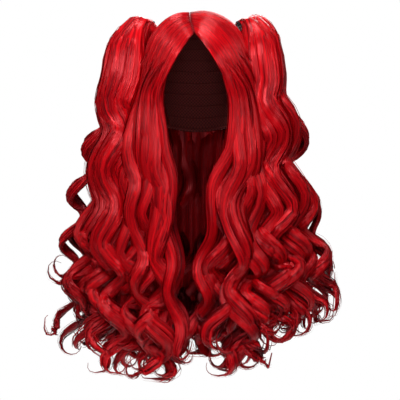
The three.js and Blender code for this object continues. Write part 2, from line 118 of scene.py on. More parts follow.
# Laid strands
LAID_STEPS = 24
LAID_START_RANGE = (0.0, 0.012)
LAID_SHORTEST = 0.74
LAID_WANDER = (5, 0.012)
LAID_WANDER_SPAN = (0.0, 1 / 3)
LAID_LAYER_RANGE = (-1.9, -0.4)
LAID_LAYER_WANDER = (5, 0.18)
LAID_TUCK = 1.4
LAID_TUCK_SPAN = (0.82, 1.02)
LAID_PROFILE = ((0, 0.12, 0.86, 1), (0.55, 1.0, 1.0, 0.3))

# Ties, where the ponytails are gathered, and how their hair rises to a crest and falls over a shoulder
TIE_LEFT = np.array([-72.0, 10.0, -20.0])
TIE_RIGHT = np.array([67.0, 10.0, -20.0])
TIE_SLOPE = 0.58
GATHER = 7.5
GATHER_FLATNESS = 0.8
GATHER_HIP = 45.0
GATHER_OUT = 16.0
GATHER_OUT_HALF = 15.0
GATHER_SHARE = 0.6
GATHER_SPAN = (0.0, 0.12)
CREST_OUT = 0.75
CREST_SPREAD = 0.4
SHOULDER_SPREAD = 0.75
SHOULDER_OUT = 0.55
SHOULDER_DOWN = 0.26
KNEE_Z = -270.0

# Ponytail locks. A spine runs from the tie over a crest (out and up from it), hip and knee to the foot.
# The lock swings about it by wave with a pitch, most outwards at the height bulge, and tightens into a curl
# with a coil length, which winds by its hand. Its end rolls up, one way or the other, into a ring.
SPINE_COLUMNS = " hip_x hip_y hip_z knee_x foot_x foot_y foot_z "
WINDING_COLUMNS = "bulge wave pitch curl coil hand width depth roll ring"
PONYTAIL_COLUMNS = "out up" + SPINE_COLUMNS + WINDING_COLUMNS
PONYTAIL_LEFT_LOCKS = [
    (28, 18, -127, 6, -105, -177, -198, 8, -392, -264, 12, 74, 15, 74, 1, 18, 13, -1, 18),
    (25, 19, -120, -16, -98, -147, -190, -26, -434, -122, 10, 105, 17, 76, -1, 27, 15, 1, 17),
    (23, 19, -118, -30, -96, -143, -148, -48, -464, -117, 10, 109, 18, 74, 1, 28, 15, 1, 18),
    (18, 19, -116, 4, -96, -138, -180, 0, -446, -127, 10, 104, 18, 76, -1, 30, 17, -1, 18),
    (12, 17, -108, -42, -92, -122, -122, -66, -500, -122, 11, 110, 18, 74, -1, 30, 16, -1, 18),
    (4, 11, -96, -26, -90, -102, -98, -58, -506, -117, 11, 104, 17, 76, 1, 28, 16, 1, 19),
    (25, 18, -119, 32, -98, -143, -176, 44, -424, -127, 10, 108, 17, 78, -1, 28, 16, 1, 18),
    (17, 18, -114, 46, -94, -132, -148, 62, -454, -122, 11, 103, 17, 78, 1, 28, 16, -1, 18),
    (6, 12, -98, 38, -90, -110, -116, 56, -474, -117, 11, 106, 17, 78, -1, 28, 16, 1, 18),
    (14, 17, -110, 12, -94, -126, -138, 16, -478, -127, 11, 102, 17, 76, 1, 30, 17, -1, 18),
]
PONYTAIL_RIGHT_LOCKS = [
    (38, 20, 115, 6, -62, 163, 187, 8, -384, -173, 20, 116, 16, 96, 1, 22, 14, 1, 20),
    (32, 21, 108, -18, -75, 150, 190, -30, -418, -170, 15, 110, 19, 74, -1, 24, 14, 1, 18),
    (21, 19, 106, -34, -80, 136, 146, -52, -440, -165, 13, 105, 18, 72, 1, 29, 16, -1, 18),
    (13, 16, 99, -44, -84, 118, 122, -66, -446, -175, 12, 107, 18, 76, -1, 29, 16, 1, 18),
    (8, 10, 90, -36, -86, 98, 102, -72, -448, -170, 12, 102, 17, 76, 1, 27, 16, -1, 18),
    (32, 21, 109, 32, -76, 148, 174, 42, -418, -165, 15, 110, 17, 78, -1, 28, 16, 1, 18),
    (17, 16, 104, 46, -84, 130, 146, 62, -440, -175, 12, 104, 17, 78, 1, 28, 16, -1, 18),
    (10, 11, 96, 38, -86, 108, 116, 56, -446, -170, 12, 106, 17, 78, -1, 28, 16, 1, 18),
    (26, 21, 107, 8, -80, 142, 162, 4, -438, -165, 15, 108, 17, 76, 1, 29, 17, -1, 18),
    (10, 14, 97, -8, -86, 112, 126, -16, -444, -175, 13, 105, 17, 76, -1, 29, 17, 1, 18),
]
PONYTAIL_RIBBONS = 9
RIGHT_CLIP_BARE = 2.6

# Plain hair inside each ponytail
CORE_COLUMNS = "out up" + SPINE_COLUMNS + "width depth"
CORE_LEFT = (14, 8, -110, 6, -92, -130, -148, 6, -450, 44, 60)
CORE_RIGHT = (14, 7, 99, 6, -82, 124, 146, 6, -434, 44, 60)
CORE_FINE = 300
CORE_STEPS = 30
CORE_SIDES = 24
CORE_FLUTES = 0.08
# Painted shade: the core is darkened, more so lower down
CORE_PAINTED_SHADE = 0.8
CORE_SHADE_SPAN = (0.0, 0.45)
CORE_PROFILE = ((0, 0.06, 0.2, 0.6, 0.85, 1), (0.3, 0.7, 0.95, 0.85, 0.6, 0.15))

# Hanging locks: place v across the laid hair that they come out of, then the same columns from the hip on
HANGING_COLUMNS = "v" + SPINE_COLUMNS + WINDING_COLUMNS
FRONT_LEFT_LOCKS = [
    (0.13, -58, -80, -190, -48, -28, -92, -502, -406, 4, 120, 9, 84, 1, 26, 12, 1, 16),
    (0.25, -71, -77, -190, -62, -58, -98, -498, -438, 6, 126, 16, 80, -1, 30, 14, -1, 20),
    (0.40, -85, -66, -190, -82, -64, -82, -512, -396, 8, 112, 17, 78, 1, 30, 15, -1, 22),
    (0.55, -92, -46, -195, -96, -88, -76, -494, -442, 9, 116, 17, 76, -1, 30, 15, 1, 22),
    (0.70, -94, -26, -200, -92, -82, -40, -482, -408, 9, 108, 17, 76, 1, 30, 15, -1, 22),
]
FRONT_RIGHT_LOCKS = [
    (0.13, 61, -80, -190, 32, 10, -92, -446, -316, 5, 140, 10, 88, 1, 27, 12, -1, 20),
    (0.25, 72, -77, -190, 58, 56, -98, -496, -352, 9, 140, 17, 84, 1, 30, 14, 1, 22),
    (0.40, 80, -66, -190, 50, 32, -98, -456, -324, 9, 130, 18, 80, -1, 29, 14, -1, 22),
    (0.55, 89, -46, -195, 84, 74, -78, -484, -372, 10, 120, 17, 78, 1, 30, 15, -1, 22),
    (0.70, 91, -26, -200, 78, 62, -44, -482, -338, 10, 112, 17, 76, -1, 30, 15, 1, 22),
]
BACK_LOCKS = [
    (0.12, -84, 52, -200, -82, -78, 58, -456, -380, 8, 116, 18, 76, 1, 36, 18, 1, 22),
    (0.25, -64, 80, -200, -62, -58, 82, -466, -390, 8, 116, 18, 76, 1, 38, 18, -1, 22),
    (0.38, -36, 100, -200, -36, -34, 98, -474, -384, 9, 116, 18, 76, 1, 38, 18, 1, 22),
    (0.46, -12, 108, -200, -12, -12, 104, -478, -394, 9, 116, 18, 76, 1, 38, 18, -1, 22),
    (0.54, 12, 108, -200, 12, 12, 104, -478, -386, 9, 116, 18, 76, -1, 38, 18, 1, 22),
    (0.62, 36, 100, -200, 36, 34, 98, -474, -392, 9, 116, 18, 76, -1, 38, 18, -1, 22),
    (0.75, 64, 80, -200, 62, 58, 82, -466, -382, 8, 116, 18, 76, -1, 38, 18, 1, 22),
    (0.88, 84, 52, -200, 82, 78, 58, -456, -388, 8, 116, 18, 76, -1, 36, 18, -1, 22),
]
FRONT_RIBBONS = 13
BACK_RIBBONS = 9
LAID_PLACES = (0.4, 0.62, 0.84)
NEIGHBOUR_V_RANGE = (-0.04, 0.04)
V_LIMITS = (0.1, 0.96)

# Curtain of plain hair inside the back locks, and the roots that it hangs from; it thickens below them
CURTAIN_ROOTS = [
    (-78, 44, -130), (-62, 72, -134), (-38, 94, -140), (-14, 102, -142),
    (14, 102, -142), (38, 94, -140), (62, 72, -134), (78, 44, -130),
]
CURTAIN_ACROSS = 60
CURTAIN_ALONG = 36
CURTAIN_EDGE = 0.02
CURTAIN_END = -430.0
CURTAIN_INSIDE = 3.0
CURTAIN_THICK = (1.0, 7.0)
# Painted shade: the curtain is darkened all over
CURTAIN_PAINTED_SHADE = 0.35
CURTAIN_ROOM_SPAN = (0.08, 0.28)
CURTAIN_PROFILE = ((0, 0.7, 1), (1.0, 1.0, 0.2))
PLEAT = 3.0
PLEAT_WAVES = 47
PLEAT_SPAN = (0.0, 1 / 3)
FOLD = 2.0
FOLD_WAVES = 21
FOLD_SLANT = 5

# Winding, and the limits of the locks' middle lines: axis, where easing starts, limit
SPINE_FINE = 600
GUIDE_POINTS = 320
PONYTAIL_WAVE_FROM = -70.0
HANGING_WAVE_FROM = -170.0
WAVE_GROWTH = 90.0
WAVE_FLATNESS = 0.6
CURL_FLATNESS = 0.75
RINGLET_SPAN = (0.6, 0.82)
REACH = ((1, -104, -122), (1, 104, 122), (0, -214, -231), (0, 190, 210), (2, -510, -532))

# The way that a lock's face looks
FACING_SWING = 40.0
CREST_LEAN = 0.4
CREST_TURN = 80.0
HEAD_FACING_Z = (-110.0, -180.0)
BODY_OVAL = (0.6, 1.0, 0.0)

# Rolled ends
ROLL_POINTS = 70
ROLL_TURN = 1.35 * math.pi
ROLL_TURN_RANGE = (0.85, 1.15)
ROLL_TIGHTENING = 0.62
ROLL_YAW = 0.8
ROLL_TILT = 0.2
ROLL_DRIFT = 9.0
ROLL_FACING = 2.0
ROLL_HEADING = 6

# Sub-locks that a row makes, and how they part: random changes of a column, as sizes or as shares of it,
# and how freely the ends of the first sub-lock and of the others turn
SPLIT = 3
SUB_LOCK_WIDTH = 0.64
SUB_LOCK_DEPTH = 0.62
BESIDE = 0.4
BESIDE_SPAN = (0.0, 0.14)
BESIDE_END = 0.5
BESIDE_END_SPAN = (0.45, 0.8)
JITTER = dict(hip_x=2, hip_y=2.5, knee_x=4, foot_x=11, foot_y=10, foot_z=14, bulge=4, ring=3)
JITTER_RANGES = dict(curl=(-0.25, 0.15), coil=(-0.2, 0.25), wave=(-0.15, 0.15))
RING_LEAST = 8.0
ROLL_FLIP = 0.25
LOOSENESS = (0.4, 1.0)

# Body of a lock
LOCK_STEPS = 52
LOCK_SIDES = 8
BEND_WEIGHT = 2.0
BODY_FLUTES = 0.05
FLUTE_KNOTS = 8
FLUTE_LIMIT = 1.6
BODY_PROFILE = ((0, 0.88, 1), (0.8, 0.8, 0.2))
PONYTAIL_PROFILE = ((0, 0.05, 0.16, 0.42, 0.7, 0.86, 1), (0.4, 1.05, 1.6, 1.15, 0.95, 0.85, 0.4))
HANGING_WIDE_PROFILE = ((0, 0.1, 0.17, 0.3, 0.5, 0.74, 0.88, 1), (0.3, 0.8, 1.0, 1.2, 1.1, 0.95, 0.85, 0.4))
HANGING_DEEP_PROFILE = ((0, 0.1, 0.17, 0.3, 0.5, 0.74, 0.88, 1), (0.1, 0.25, 0.45, 1.1, 1.1, 0.95, 0.85, 0.4))

# Strips of hair: half width and its range, thickness over width, sides, width on the streak map, lean of the
# shading towards the outward direction, and room on the bake map
RIBBON = dict(half=3.3, range=(0.6, 1.3), flat=0.2, sides=4, streak=0.56, lean=0.88, room=3.0)
STRAND = dict(half=0.45, range=(0.6, 1.3), flat=0.8, sides=3, streak=0.06, lean=0.2, room=1.0)
COVER = dict(half=2.6, range=(0.7, 1.3), flat=0.2, sides=4, streak=0.8, lean=0.88, room=2.0)
LAID = dict(half=0.85, range=(0.7, 1.3), flat=0.55, sides=3, streak=0.06, lean=0.6, room=1.0)

# Ribbons and loose strands on a lock. Sides are sines of the angle round it: 1 is outermost.
LOOSE_STRANDS = 4
OUTER_SHARE = 0.75
RIBBON_ARC = (-0.15, 1.15)
TWIST_RANGE = (0.1, 0.5)
TURN_WANDER = (7, 0.13)
OUT_RANGE = (0.88, 1.02)
OUT_WANDER = (8, 0.025)
STRAY_WANDER = (6, 0.2)
PARTED_SPAN = (0.2, 0.5)
FRAY = 0.7
FRAY_SPAN = (0.76, 1.0)
STRAND_STOP_RANGE = (0.7, 0.93)
RIBBON_STOP_RANGE = (0.87, 1.0)
RIBBON_FOLLOWS = 0.7
RIBBON_PROFILE = ((0, 0.15, 0.7, 0.9, 1), (0.15, 1.0, 0.95, 0.65, 0.08))
LIFT_OVER_FRINGE = 6.0
LIFT_START_RANGE = (-0.05, 0.08)
LIFT_LENGTH = 0.1
LIFT_FADE_SPAN = (0.19, 0.59)
LIFT_SIDES = (-0.2, 0.3)

# Painted shade: darkening painted into the colour of a lock's slim body, of ribbons on a lock's inner and
# back sides, and of locks that others lie over; RIBBON_DEPTH is a random darker tone per ribbon
BODY_PAINTED_SHADE = 0.5
EDGE_PAINTED_SHADE = 0.45
EDGE_SHADE_SIDES = (0.75, -0.15)
RIBBON_DEPTH = 0.2
BURIED_PAINTED_SHADE = 0.6
BURIED_EVERY = 4
BURIED_AHEAD = 14.0
BURIED_NEAR = 12.0
BURIED_FULL = 7.0

# Smooth ribbons over the clips. Angles round a clip start level and go upwards.
COVER_RIBBONS = 3
COVER_STEPS = 26
COVER_TO = 0.34
COVER_AIM_STEP = 9
COVER_SPREAD = 0.6
COVER_ANYWHERE = 0.5
COVER_ANGLE_RANGE = (-0.2, 3.3)
COVER_BESIDE = 5.0
COVER_ROOT = 9.0
COVER_ROOT_BEHIND = 16.0
COVER_RING = 19.5
COVER_RING_AHEAD = 7.0
COVER_RING_SPAN = (0.0, 0.22)
COVER_LOCK_SPAN = (0.1, 0.5)
BARE_HALF = 0.5

# Claw clips: rings with a gap below, bars across them, and an axle with a spring on top
CLIP_RADIUS = 13.2
CLIP_OPENING = 1.1
CLIP_LIFT = 1.5
CLIP_STEPS = 60
CLIP_RING_SIDES = 12
CLIP_RING_LEVELS = ((-3.4, 1.2), (0.0, 1.5), (3.4, 1.2))
CLIP_HALF_THICK = 1.1
BAR_AT_STEPS = range(4, 56, 6)
BAR_CLEAR_OF_AXLE = 0.35
BAR_HALF_LENGTH = 3.6
BAR_HALF_WIDE = 1.0
BAR_STEPS = 8
BAR_SIDES = 8
BAR_FACING = 0.3
AXLE_ABOVE = 1.2
AXLE_RADIUS = 1.9
AXLE_HALF_LENGTH = 8.4
AXLE_ROUNDED = 0.35
AXLE_ROUNDED_X = (7.4, 8.4)
AXLE_STEPS = 12
AXLE_SIDES = 14
SPRING_TURNS = 7
SPRING_RADIUS = 2.5
SPRING_HALF_LENGTH = 6.0
SPRING_WIRE = 0.55
SPRING_STEPS = 130
SPRING_SIDES = 6
CLIP_STREAK = (2, 6)

# Streak map, which the fibre's colours follow: random starts across and along, and how far each form runs
STREAK_ACROSS = 40.0
STREAK_ALONG = 10.0
STREAK_A_MM = 0.01
LAID_STREAK = 1.6
SHEET_STREAK = 14.0
CORE_STREAK = 3.0
CURTAIN_STREAK = 3.0

# Bake map and shading normals
ROOM = dict(body=12.0, core=30.0, curtain=60.0, sheet=120.0, cap=60.0, seam=8.0, clip=10.0)
CELL_ASPECT = 30.0
CELL_MARGIN = 0.04
END_RADIUS = 0.3
INNER_FACE = -0.3

# Fibre: shades by place on the ramp, the painted shade colour of deep and covered hair, streaks, grooves and
# gloss
FIBRE_SHADES = ((0.3, (96, 0, 6)), (0.45, (146, 2, 10)), (0.58, (180, 4, 14)), (0.72, (210, 13, 23)))
FIBRE_PAINTED_SHADE = (46, 0, 4)
FIBRE_STRETCH = (5.0, 0.5, 1.0)
FIBRE_STREAKS = {"Scale": 2.2, "Detail": 4.0}
FIBRE_GROOVES = {"Scale": 6.0, "Detail": 2.0}
FIBRE_RELIEF = {"Strength": 0.6, "Distance": 0.0009}
FIBRE_ROUGHNESS = {"To Min": 0.38, "To Max": 0.2}
FIBRE_GLOSS = {"Anisotropic": 0.6, "Specular IOR Level": 0.65, "Specular Tint": (1.0, 0.14, 0.16, 1.0)}

# Net and plastic
NET_LIGHT = (158, 54, 50)
NET_DARK = (100, 30, 29)
NET_CHECKS = 4.0
NET_WEAR = 0.5
NET_WEAR_SCALE = 3.0
NET_RELIEF = {"Strength": 0.6, "Distance": 0.0008}
NET_ROUGHNESS = 0.85
PLASTIC_SHADES = ((0.3, (14, 14, 16)), (0.7, (30, 30, 33)))
PLASTIC_MOTTLE = 260.0
PLASTIC_ROUGHNESS = {"To Min": 0.16, "To Max": 0.34}

# Stage, in metres and watts: place, size and power of each light
FLOOR_Z = -0.62
FLOOR_RADIUS = 0.35
FLOOR_SIDES = 96
FLOOR_FINISH = {
    "Base Color": (0.92, 0.92, 0.92, 1.0),
    "Emission Color": (1.0, 1.0, 1.0, 1.0),
    "Emission Strength": 0.3,
    "Roughness": 0.9,
}
WHITE = (1.0, 1.0, 1.0, 1.0)
AMBIENT = 0.14
BACKDROP = 1.0
LIGHT_TARGET = (0.0, 0.0, -0.2)
LIGHTS = {
    "key": ((-0.7, -1.6, 0.9), 0.5, 27),
    "front": ((0.0, -2.4, -0.15), 0.5, 6),
    "fill": ((1.0, -1.7, 0.5), 0.6, 14),
    "top": ((0.0, -0.4, 1.2), 0.6, 16),
    "rear": ((0.3, 1.6, 0.8), 1.2, 22),
    "left": ((-1.9, -0.2, 0.7), 0.9, 5),
    "right": ((1.9, -0.2, 0.7), 0.9, 5),
}
CAMERA_PLACE = (0.0045, -2.3, -0.273)
FRAME_WIDTH = 0.6
SENSOR_WIDTH = 36.0


# Small helpers

def smooth(x):
    x = np.clip(x, 0, 1)
    return x * x * (3 - 2 * x)


def rise(x, span):
    """0 at the start of a span and before it, 1 at its end and after it, and a smooth step between."""
    return smooth((x - span[0]) / (span[1] - span[0]))


def lerp(a, b, t):
    return a + (b - a) * t


def unit(v):
    return v / np.maximum(np.linalg.norm(v, axis=-1, keepdims=True), 1e-9)


def square(v, along):
    """Unit vectors of the part of v that is square to the unit vectors along."""
    return unit(v - (v * along).sum(-1, keepdims=True) * along)


def profile_at(profile, t):
    """Size at places along something, from a row of places and a row of sizes."""
    places, sizes = (np.array(column, float) for column in profile)
    i = np.clip(np.searchsorted(places, t) - 1, 0, len(places) - 2)
    return lerp(sizes[i], sizes[i + 1], smooth((t - places[i]) / (places[i + 1] - places[i])))


def rows_of(columns, table):
    names = columns.split()
    return [dict(zip(names, row)) for row in table]


def running(steps):
    """Running total of steps, from 0."""
    return np.concatenate([[0], np.cumsum(steps)])


def heading(lines):
    """Unit tangents along lines [..., step, xyz]."""
    return unit(np.gradient(lines, axis=-2))


def drifting(knots, steps):
    """Values that pass smoothly from knot to knot along each tube; knots is [tube, knot, ...]."""
    at = np.linspace(0, knots.shape[1] - 1, steps)
    low = np.minimum(at.astype(int), knots.shape[1] - 2)
    share = smooth(at - low).reshape(1, steps, *[1] * (knots.ndim - 2))
    return lerp(knots[:, low], knots[:, low + 1], share)


def wander(tubes, steps, knots, amount):
    """Smooth random drift along each tube."""
    return drifting(rng.normal(size=(tubes, knots)) * amount, steps)


def flutes(steps, sides, depth):
    """Soft ridges that run along a tube and wander across it."""
    rough = drifting(rng.normal(size=(1, FLUTE_KNOTS, sides)), steps)
    return 1 + depth * np.clip(rough, -FLUTE_LIMIT, FLUTE_LIMIT)


# Curves

def curve_at(points, share):
    """Points of a centripetal Catmull-Rom curve, evenly by segment, as the part's curves run."""
    p = np.asarray(points, float)
    at = np.clip(np.asarray(share, float), 0, 1) * (len(p) - 1)
    i = np.minimum(at.astype(int), len(p) - 2)
    w = (at - i)[:, None]
    q = np.vstack([2 * p[0] - p[1], p, 2 * p[-1] - p[-2]])
    p0, p1, p2, p3 = q[i], q[i + 1], q[i + 2], q[i + 3]

    def knot(a, b):
        return np.sqrt(np.maximum(np.linalg.norm(b - a, axis=1), 1e-6))[:, None]

    d0, d1, d2 = knot(p0, p1), knot(p1, p2), knot(p2, p3)
    m1 = ((p1 - p0) / d0 - (p2 - p0) / (d0 + d1) + (p2 - p1) / d1) * d1
    m2 = ((p2 - p1) / d1 - (p3 - p1) / (d1 + d2) + (p3 - p2) / d2) * d1
    w2, w3 = w * w, w * w * w
    return (2 * w3 - 3 * w2 + 1) * p1 + (w3 - 2 * w2 + w) * m1 + (3 * w2 - 2 * w3) * p2 + (w3 - w2) * m2


def lengths(points):
    """Length along a line up to each of its points."""
    return running(np.linalg.norm(np.diff(points, axis=0), axis=1))


def even_curve(points, fine, n):
    """Evenly spaced points of the curve through a few, measured on a fine one."""
    line = curve_at(points, np.linspace(0, 1, fine))
    s = lengths(line)
    at = np.linspace(0, s[-1], n)
    return np.stack([np.interp(at, s, line[:, axis]) for axis in range(3)], 1)


def held(values, ease, limit):
    """Keeps values from passing a limit, easing them from where ease says."""
    over = np.maximum((values - ease) / (limit - ease), 0)
    return np.where(over > 0, ease + (limit - ease) * np.tanh(over), values)


def paced(points, n, bend_weight):
    """Places along a line, closer where it turns, as positions between its points."""
    t = heading(points)
    angle = running(np.arccos(np.clip((t[1:] * t[:-1]).sum(1), -1, 1)))
    s = lengths(points)
    pace = s / s[-1] + bend_weight * angle / max(angle[-1], 1e-6)
    return np.interp(np.linspace(0, pace[-1], n), pace, np.arange(len(points)))


def sampled(values, at):
    """Rows of an array at positions between them."""
    low = np.minimum(at.astype(int), len(values) - 2)
    return lerp(values[low], values[low + 1], (at - low)[..., None])


def frames(line, first):
    """Two cross directions along a line, carried along without twisting."""
    tangent = heading(line)
    normal = np.empty_like(line)
    side = np.asarray(first, float)
    for i, along in enumerate(tangent):
        side = square(side, along)
        normal[i] = side
    return normal, np.cross(tangent, normal)


# Head form

def on_head(points, offset):
    """Points moved straight from the head's centre to an offset over the head."""
    d = unit(points - HEAD_CENTRE)
    tall = np.where(d[..., 2] > 0, HEAD_ABOVE, HEAD_BELOW)
    total = (
        np.abs(d[..., 0] / (HEAD_HALF_WIDTH + offset)) ** HEAD_POWER
        + np.abs(d[..., 1] / (HEAD_HALF_DEPTH + offset)) ** HEAD_POWER
        + np.abs(d[..., 2] / (tall + offset)) ** HEAD_POWER
    )
    return HEAD_CENTRE + d * (total ** (-1 / HEAD_POWER))[..., None]


def laid_path(rows, u, v):
    """Points of the hair paths of a table: u along each path, v across them, as arrays of one length."""
    ends = [curve_at([row[k] for row in rows], v) for k in range(3)]
    u = np.asarray(u, float)[:, None]
    return (1 - u) ** 2 * ends[0] + 2 * u * (1 - u) * ends[1] + u * u * ends[2]


def laid_offset(u):
    return lerp(*HAIR_TOP, rise(u, PARTING_SPAN))


def parting_shade(u):
    """Painted shade on laid hair along it: dark at the parting."""
    return ROOT_PAINTED_SHADE * (1 - rise(u, ROOT_SHADE_SPAN))


# Meshes made from arrays

def at_corners(values):
    """Values at the four corners of each quad of tubes [tube, step, side, ...]."""
    ahead = np.roll(values, -1, axis=2)
    return np.stack([values[:, :-1], ahead[:, :-1], ahead[:, 1:], values[:, 1:]], 3)


def at_ends(values):
    """Values at the corners of the two end faces of tubes [tube, step, side, ...]."""
    return np.stack([values[:, 0, ::-1], values[:, -1]], 1)


def joined(sides, ends):
    """Values at the corners of each tube's quads, then at those of its end faces, as [tube, corner, ...]."""
    return np.concatenate([part.reshape(len(part), -1, part.shape[-1]) for part in (sides, ends)], 1)


def map_corners(u, v):
    """Map places at the corners of tubes' quads, from [tube, side + 1] across and [tube, step] along."""
    across = np.stack([u[:, :-1], u[:, 1:], u[:, 1:], u[:, :-1]], -1)[:, None]
    along = np.stack([v[:, :-1], v[:, :-1], v[:, 1:], v[:, 1:]], -1)[:, :, None]
    return np.stack(np.broadcast_arrays(across, along), -1)


def ring_points(lines, normal, cross, half_wide, half_thick, sides, flute=None):
    """Rings of tubes round lines [tube, step, xyz]; the half sizes are [tube, step]."""
    turn = np.arange(sides) * 2 * math.pi / sides
    c = np.cos(turn)[None, None, :, None]
    s = -np.sin(turn)[None, None, :, None]
    half_wide, half_thick = (half[..., None, None] for half in (half_wide, half_thick))
    spokes = cross[:, :, None] * c * half_wide + normal[:, :, None] * s * half_thick
    return lines[:, :, None] + (spokes if flute is None else flute[..., None] * spokes)


def sheet_streak(v):
    """Places across the streak map round a closed sheet, there and back."""
    return rng.uniform(0, STREAK_ACROSS) + SHEET_STREAK * np.concatenate([v, v[::-1], v[:1]])[None]


def outside_out(rings):
    """The same rings, turned round if the first side of the second ring would face the head."""
    a, b, c = rings[0, 1, 0], rings[0, 1, 1], rings[0, 2, 0]
    faces_out = np.cross(b - a, c - a).dot(a - HEAD_CENTRE) > 0
    return rings if faces_out else rings[:, :, ::-1]


class Bundle:
    """Closed tubes gathered into one mesh, each with a cell of its own on the bake map."""

    def __init__(self):
        self.groups = []
        self.count = 0

    def grid(self, rings, streak_u, streak_v, room, shade=None, lean=0.0, depth=0.0):
        """Adds a group of tubes. rings is [tube, step, side, xyz], the streak places are [tube, side + 1] and
        [tube, step], and room is the group's part of the bake map. shade, if given, holds directions that
        the shading normals lean towards, or away from on inner faces. depth is how dark the points are:
        painted shade, with a random darker tone on ribbons."""
        n, m, k, _ = rings.shape
        index = self.count + np.arange(n * m * k).reshape(n, m, k, 1)
        round_it = np.roll(rings, -1, axis=2) - np.roll(rings, 1, axis=2)
        at_points = unit(np.cross(round_it, np.gradient(rings, axis=1)))
        normals = at_corners(at_points)
        if shade is not None:
            a, b, c, d = np.moveaxis(at_corners(rings), 3, 0)
            towards = at_corners(np.broadcast_to(shade, rings.shape))
            outer = (unit(np.cross(c - a, d - b)) * towards[..., 0, :]).sum(-1) >= INNER_FACE
            normals = unit(lerp(normals, np.where(outer, 1.0, -1.0)[..., None, None] * towards, lean))
        end_streak = np.stack(np.broadcast_arrays(streak_u[:, :1], streak_v[:, [0, -1]]), -1)
        across = np.broadcast_to(np.linspace(CELL_MARGIN, 1 - CELL_MARGIN, k + 1), (n, k + 1))
        along = np.broadcast_to(np.linspace(CELL_MARGIN, 1 - CELL_MARGIN, m), (n, m))
        turn = np.arange(k) * 2 * math.pi / k
        disc = (0.5 + END_RADIUS * np.stack([np.cos(turn), np.sin(turn)], -1)) * (1, CELL_MARGIN)
        self.count += n * m * k
        self.groups.append({
            "points": rings,
            "depth": np.broadcast_to(depth, (n, m, k)),
            "corners": joined(at_corners(index), at_ends(index)),
            "sizes": np.tile(np.repeat([4, k], [(m - 1) * k, 2]), n),
            "normals": joined(normals, at_ends(at_points)),
            "Streak": joined(map_corners(streak_u, streak_v), np.repeat(end_streak, k, axis=1)),
            "OFBake": joined(map_corners(across, along), np.broadcast_to(disc, (n, 2, k, 2))),
            "room": room,
        })

    def lay_out(self):
        """Puts the groups side by side on the bake map, and each tube in a cell of its group's part."""
        all_room = sum(group["room"] for group in self.groups)
        left = 0.0
        for group in self.groups:
            tube = np.arange(len(group["OFBake"]))
            wide = group["room"] / all_room
            columns = max(1, math.ceil(math.sqrt(len(tube) * wide * CELL_ASPECT)))
            cell = np.array([wide / columns, 1 / math.ceil(len(tube) / columns)])
            place = np.stack([tube % columns, tube // columns], -1)[:, None]
            group["OFBake"] = (left, 0.0) + cell * (place + group["OFBake"])
            left += wide

    def gathered(self, key, kind):
        return np.concatenate([group[key].ravel() for group in self.groups]).astype(kind)

    def build(self, name, material, body, node):
        """Makes the mesh an object that rides a body and stands for a node of the part."""
        self.lay_out()
        corners, sizes = self.gathered("corners", np.int32), self.gathered("sizes", np.int32)
        mesh = bpy.data.meshes.new(name)
        mesh.vertices.add(self.count)
        mesh.vertices.foreach_set("co", (self.gathered("points", float) * MM).astype(np.float32))
        mesh.loops.add(len(corners))
        mesh.loops.foreach_set("vertex_index", corners)
        mesh.polygons.add(len(sizes))
        mesh.polygons.foreach_set("loop_start", np.cumsum(sizes, dtype=np.int32) - sizes)
        mesh.polygons.foreach_set("loop_total", sizes)
        mesh.update(calc_edges=True)
        for label in ("OFBake", "Streak"):
            layer = mesh.uv_layers.new(name=label, do_init=False)
            layer.uv.foreach_set("vector", self.gathered(label, np.float32))
        # The depth attribute carries painted shade, and the ribbons' random darker tone, to the fibre
        # material
        dark = mesh.attributes.new("depth", "FLOAT", "POINT")
        dark.data.foreach_set("value", self.gathered("depth", np.float32))
        mesh.polygons.foreach_set("use_smooth", np.ones(len(sizes), bool))
        mesh.materials.append(material)
        mesh.validate()
        mesh.normals_split_custom_set(self.gathered("normals", np.float32).reshape(-1, 3))
        ob = bpy.data.objects.new(name, mesh)
        bpy.context.scene.collection.objects.link(ob)
        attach(ob, body)
        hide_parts(node)


def add_tube(bundle, line, normal, cross, halves, sides, streak, room, flute=None, depth=0.0, start=0.0):
    """One closed tube along a line; halves are its half width and half thickness, which may vary along it.
    streak is its width on the streak map, from start, and its places along that map."""
    streak_u = start + np.linspace(0, streak[0], sides + 1)
    half_wide, half_thick = (np.broadcast_to(half, (1, len(line))) for half in halves)
    rings = ring_points(line[None], normal[None], cross[None], half_wide, half_thick, sides, flute)
    dark = np.broadcast_to(depth, (1, len(line)))[..., None]
    bundle.grid(rings, streak_u[None], streak[1][None], room, depth=dark)


def add_strips(bundle, kind, lines, outward, sizes, streak_v, depth=0.0):
    """Strips of one kind along lines [strip, step, xyz], flat to the outward directions."""
    n = len(lines)
    along = heading(lines)
    normal = square(outward, along)
    half = kind["half"] * rng.uniform(*kind["range"], n)[:, None] * sizes
    rings = ring_points(lines, normal, np.cross(along, normal), half, half * kind["flat"], kind["sides"])
    streak_u = rng.uniform(0, STREAK_ACROSS, n)[:, None] + np.linspace(0, kind["streak"], kind["sides"] + 1)
    streak_v = rng.uniform(0, STREAK_ALONG, n)[:, None] + streak_v
    dark = np.broadcast_to(depth, lines.shape[:2])[..., None]
    bundle.grid(rings, streak_u, streak_v, n * kind["room"], normal[:, :, None], kind["lean"], dark)


# Guides of the locks

def leg(row):
    """Hip, knee and foot of a row's spine."""
    hip, foot = (np.array([row[f"{name}_{axis}"] for axis in "xyz"], float) for name in ("hip", "foot"))
    return hip, np.array([row["knee_x"], (hip[1] + foot[1]) / 2, KNEE_Z]), foot


def tie_frame(outward):
    """Directions at a tie: level, which is back on the right and forward on the left, up, and the way that
    the hair leaves."""
    leave = unit(np.array([outward, 0.0, TIE_SLOPE]))
    level = np.array([0.0, outward, 0.0])
    return level, np.cross(leave, level), leave


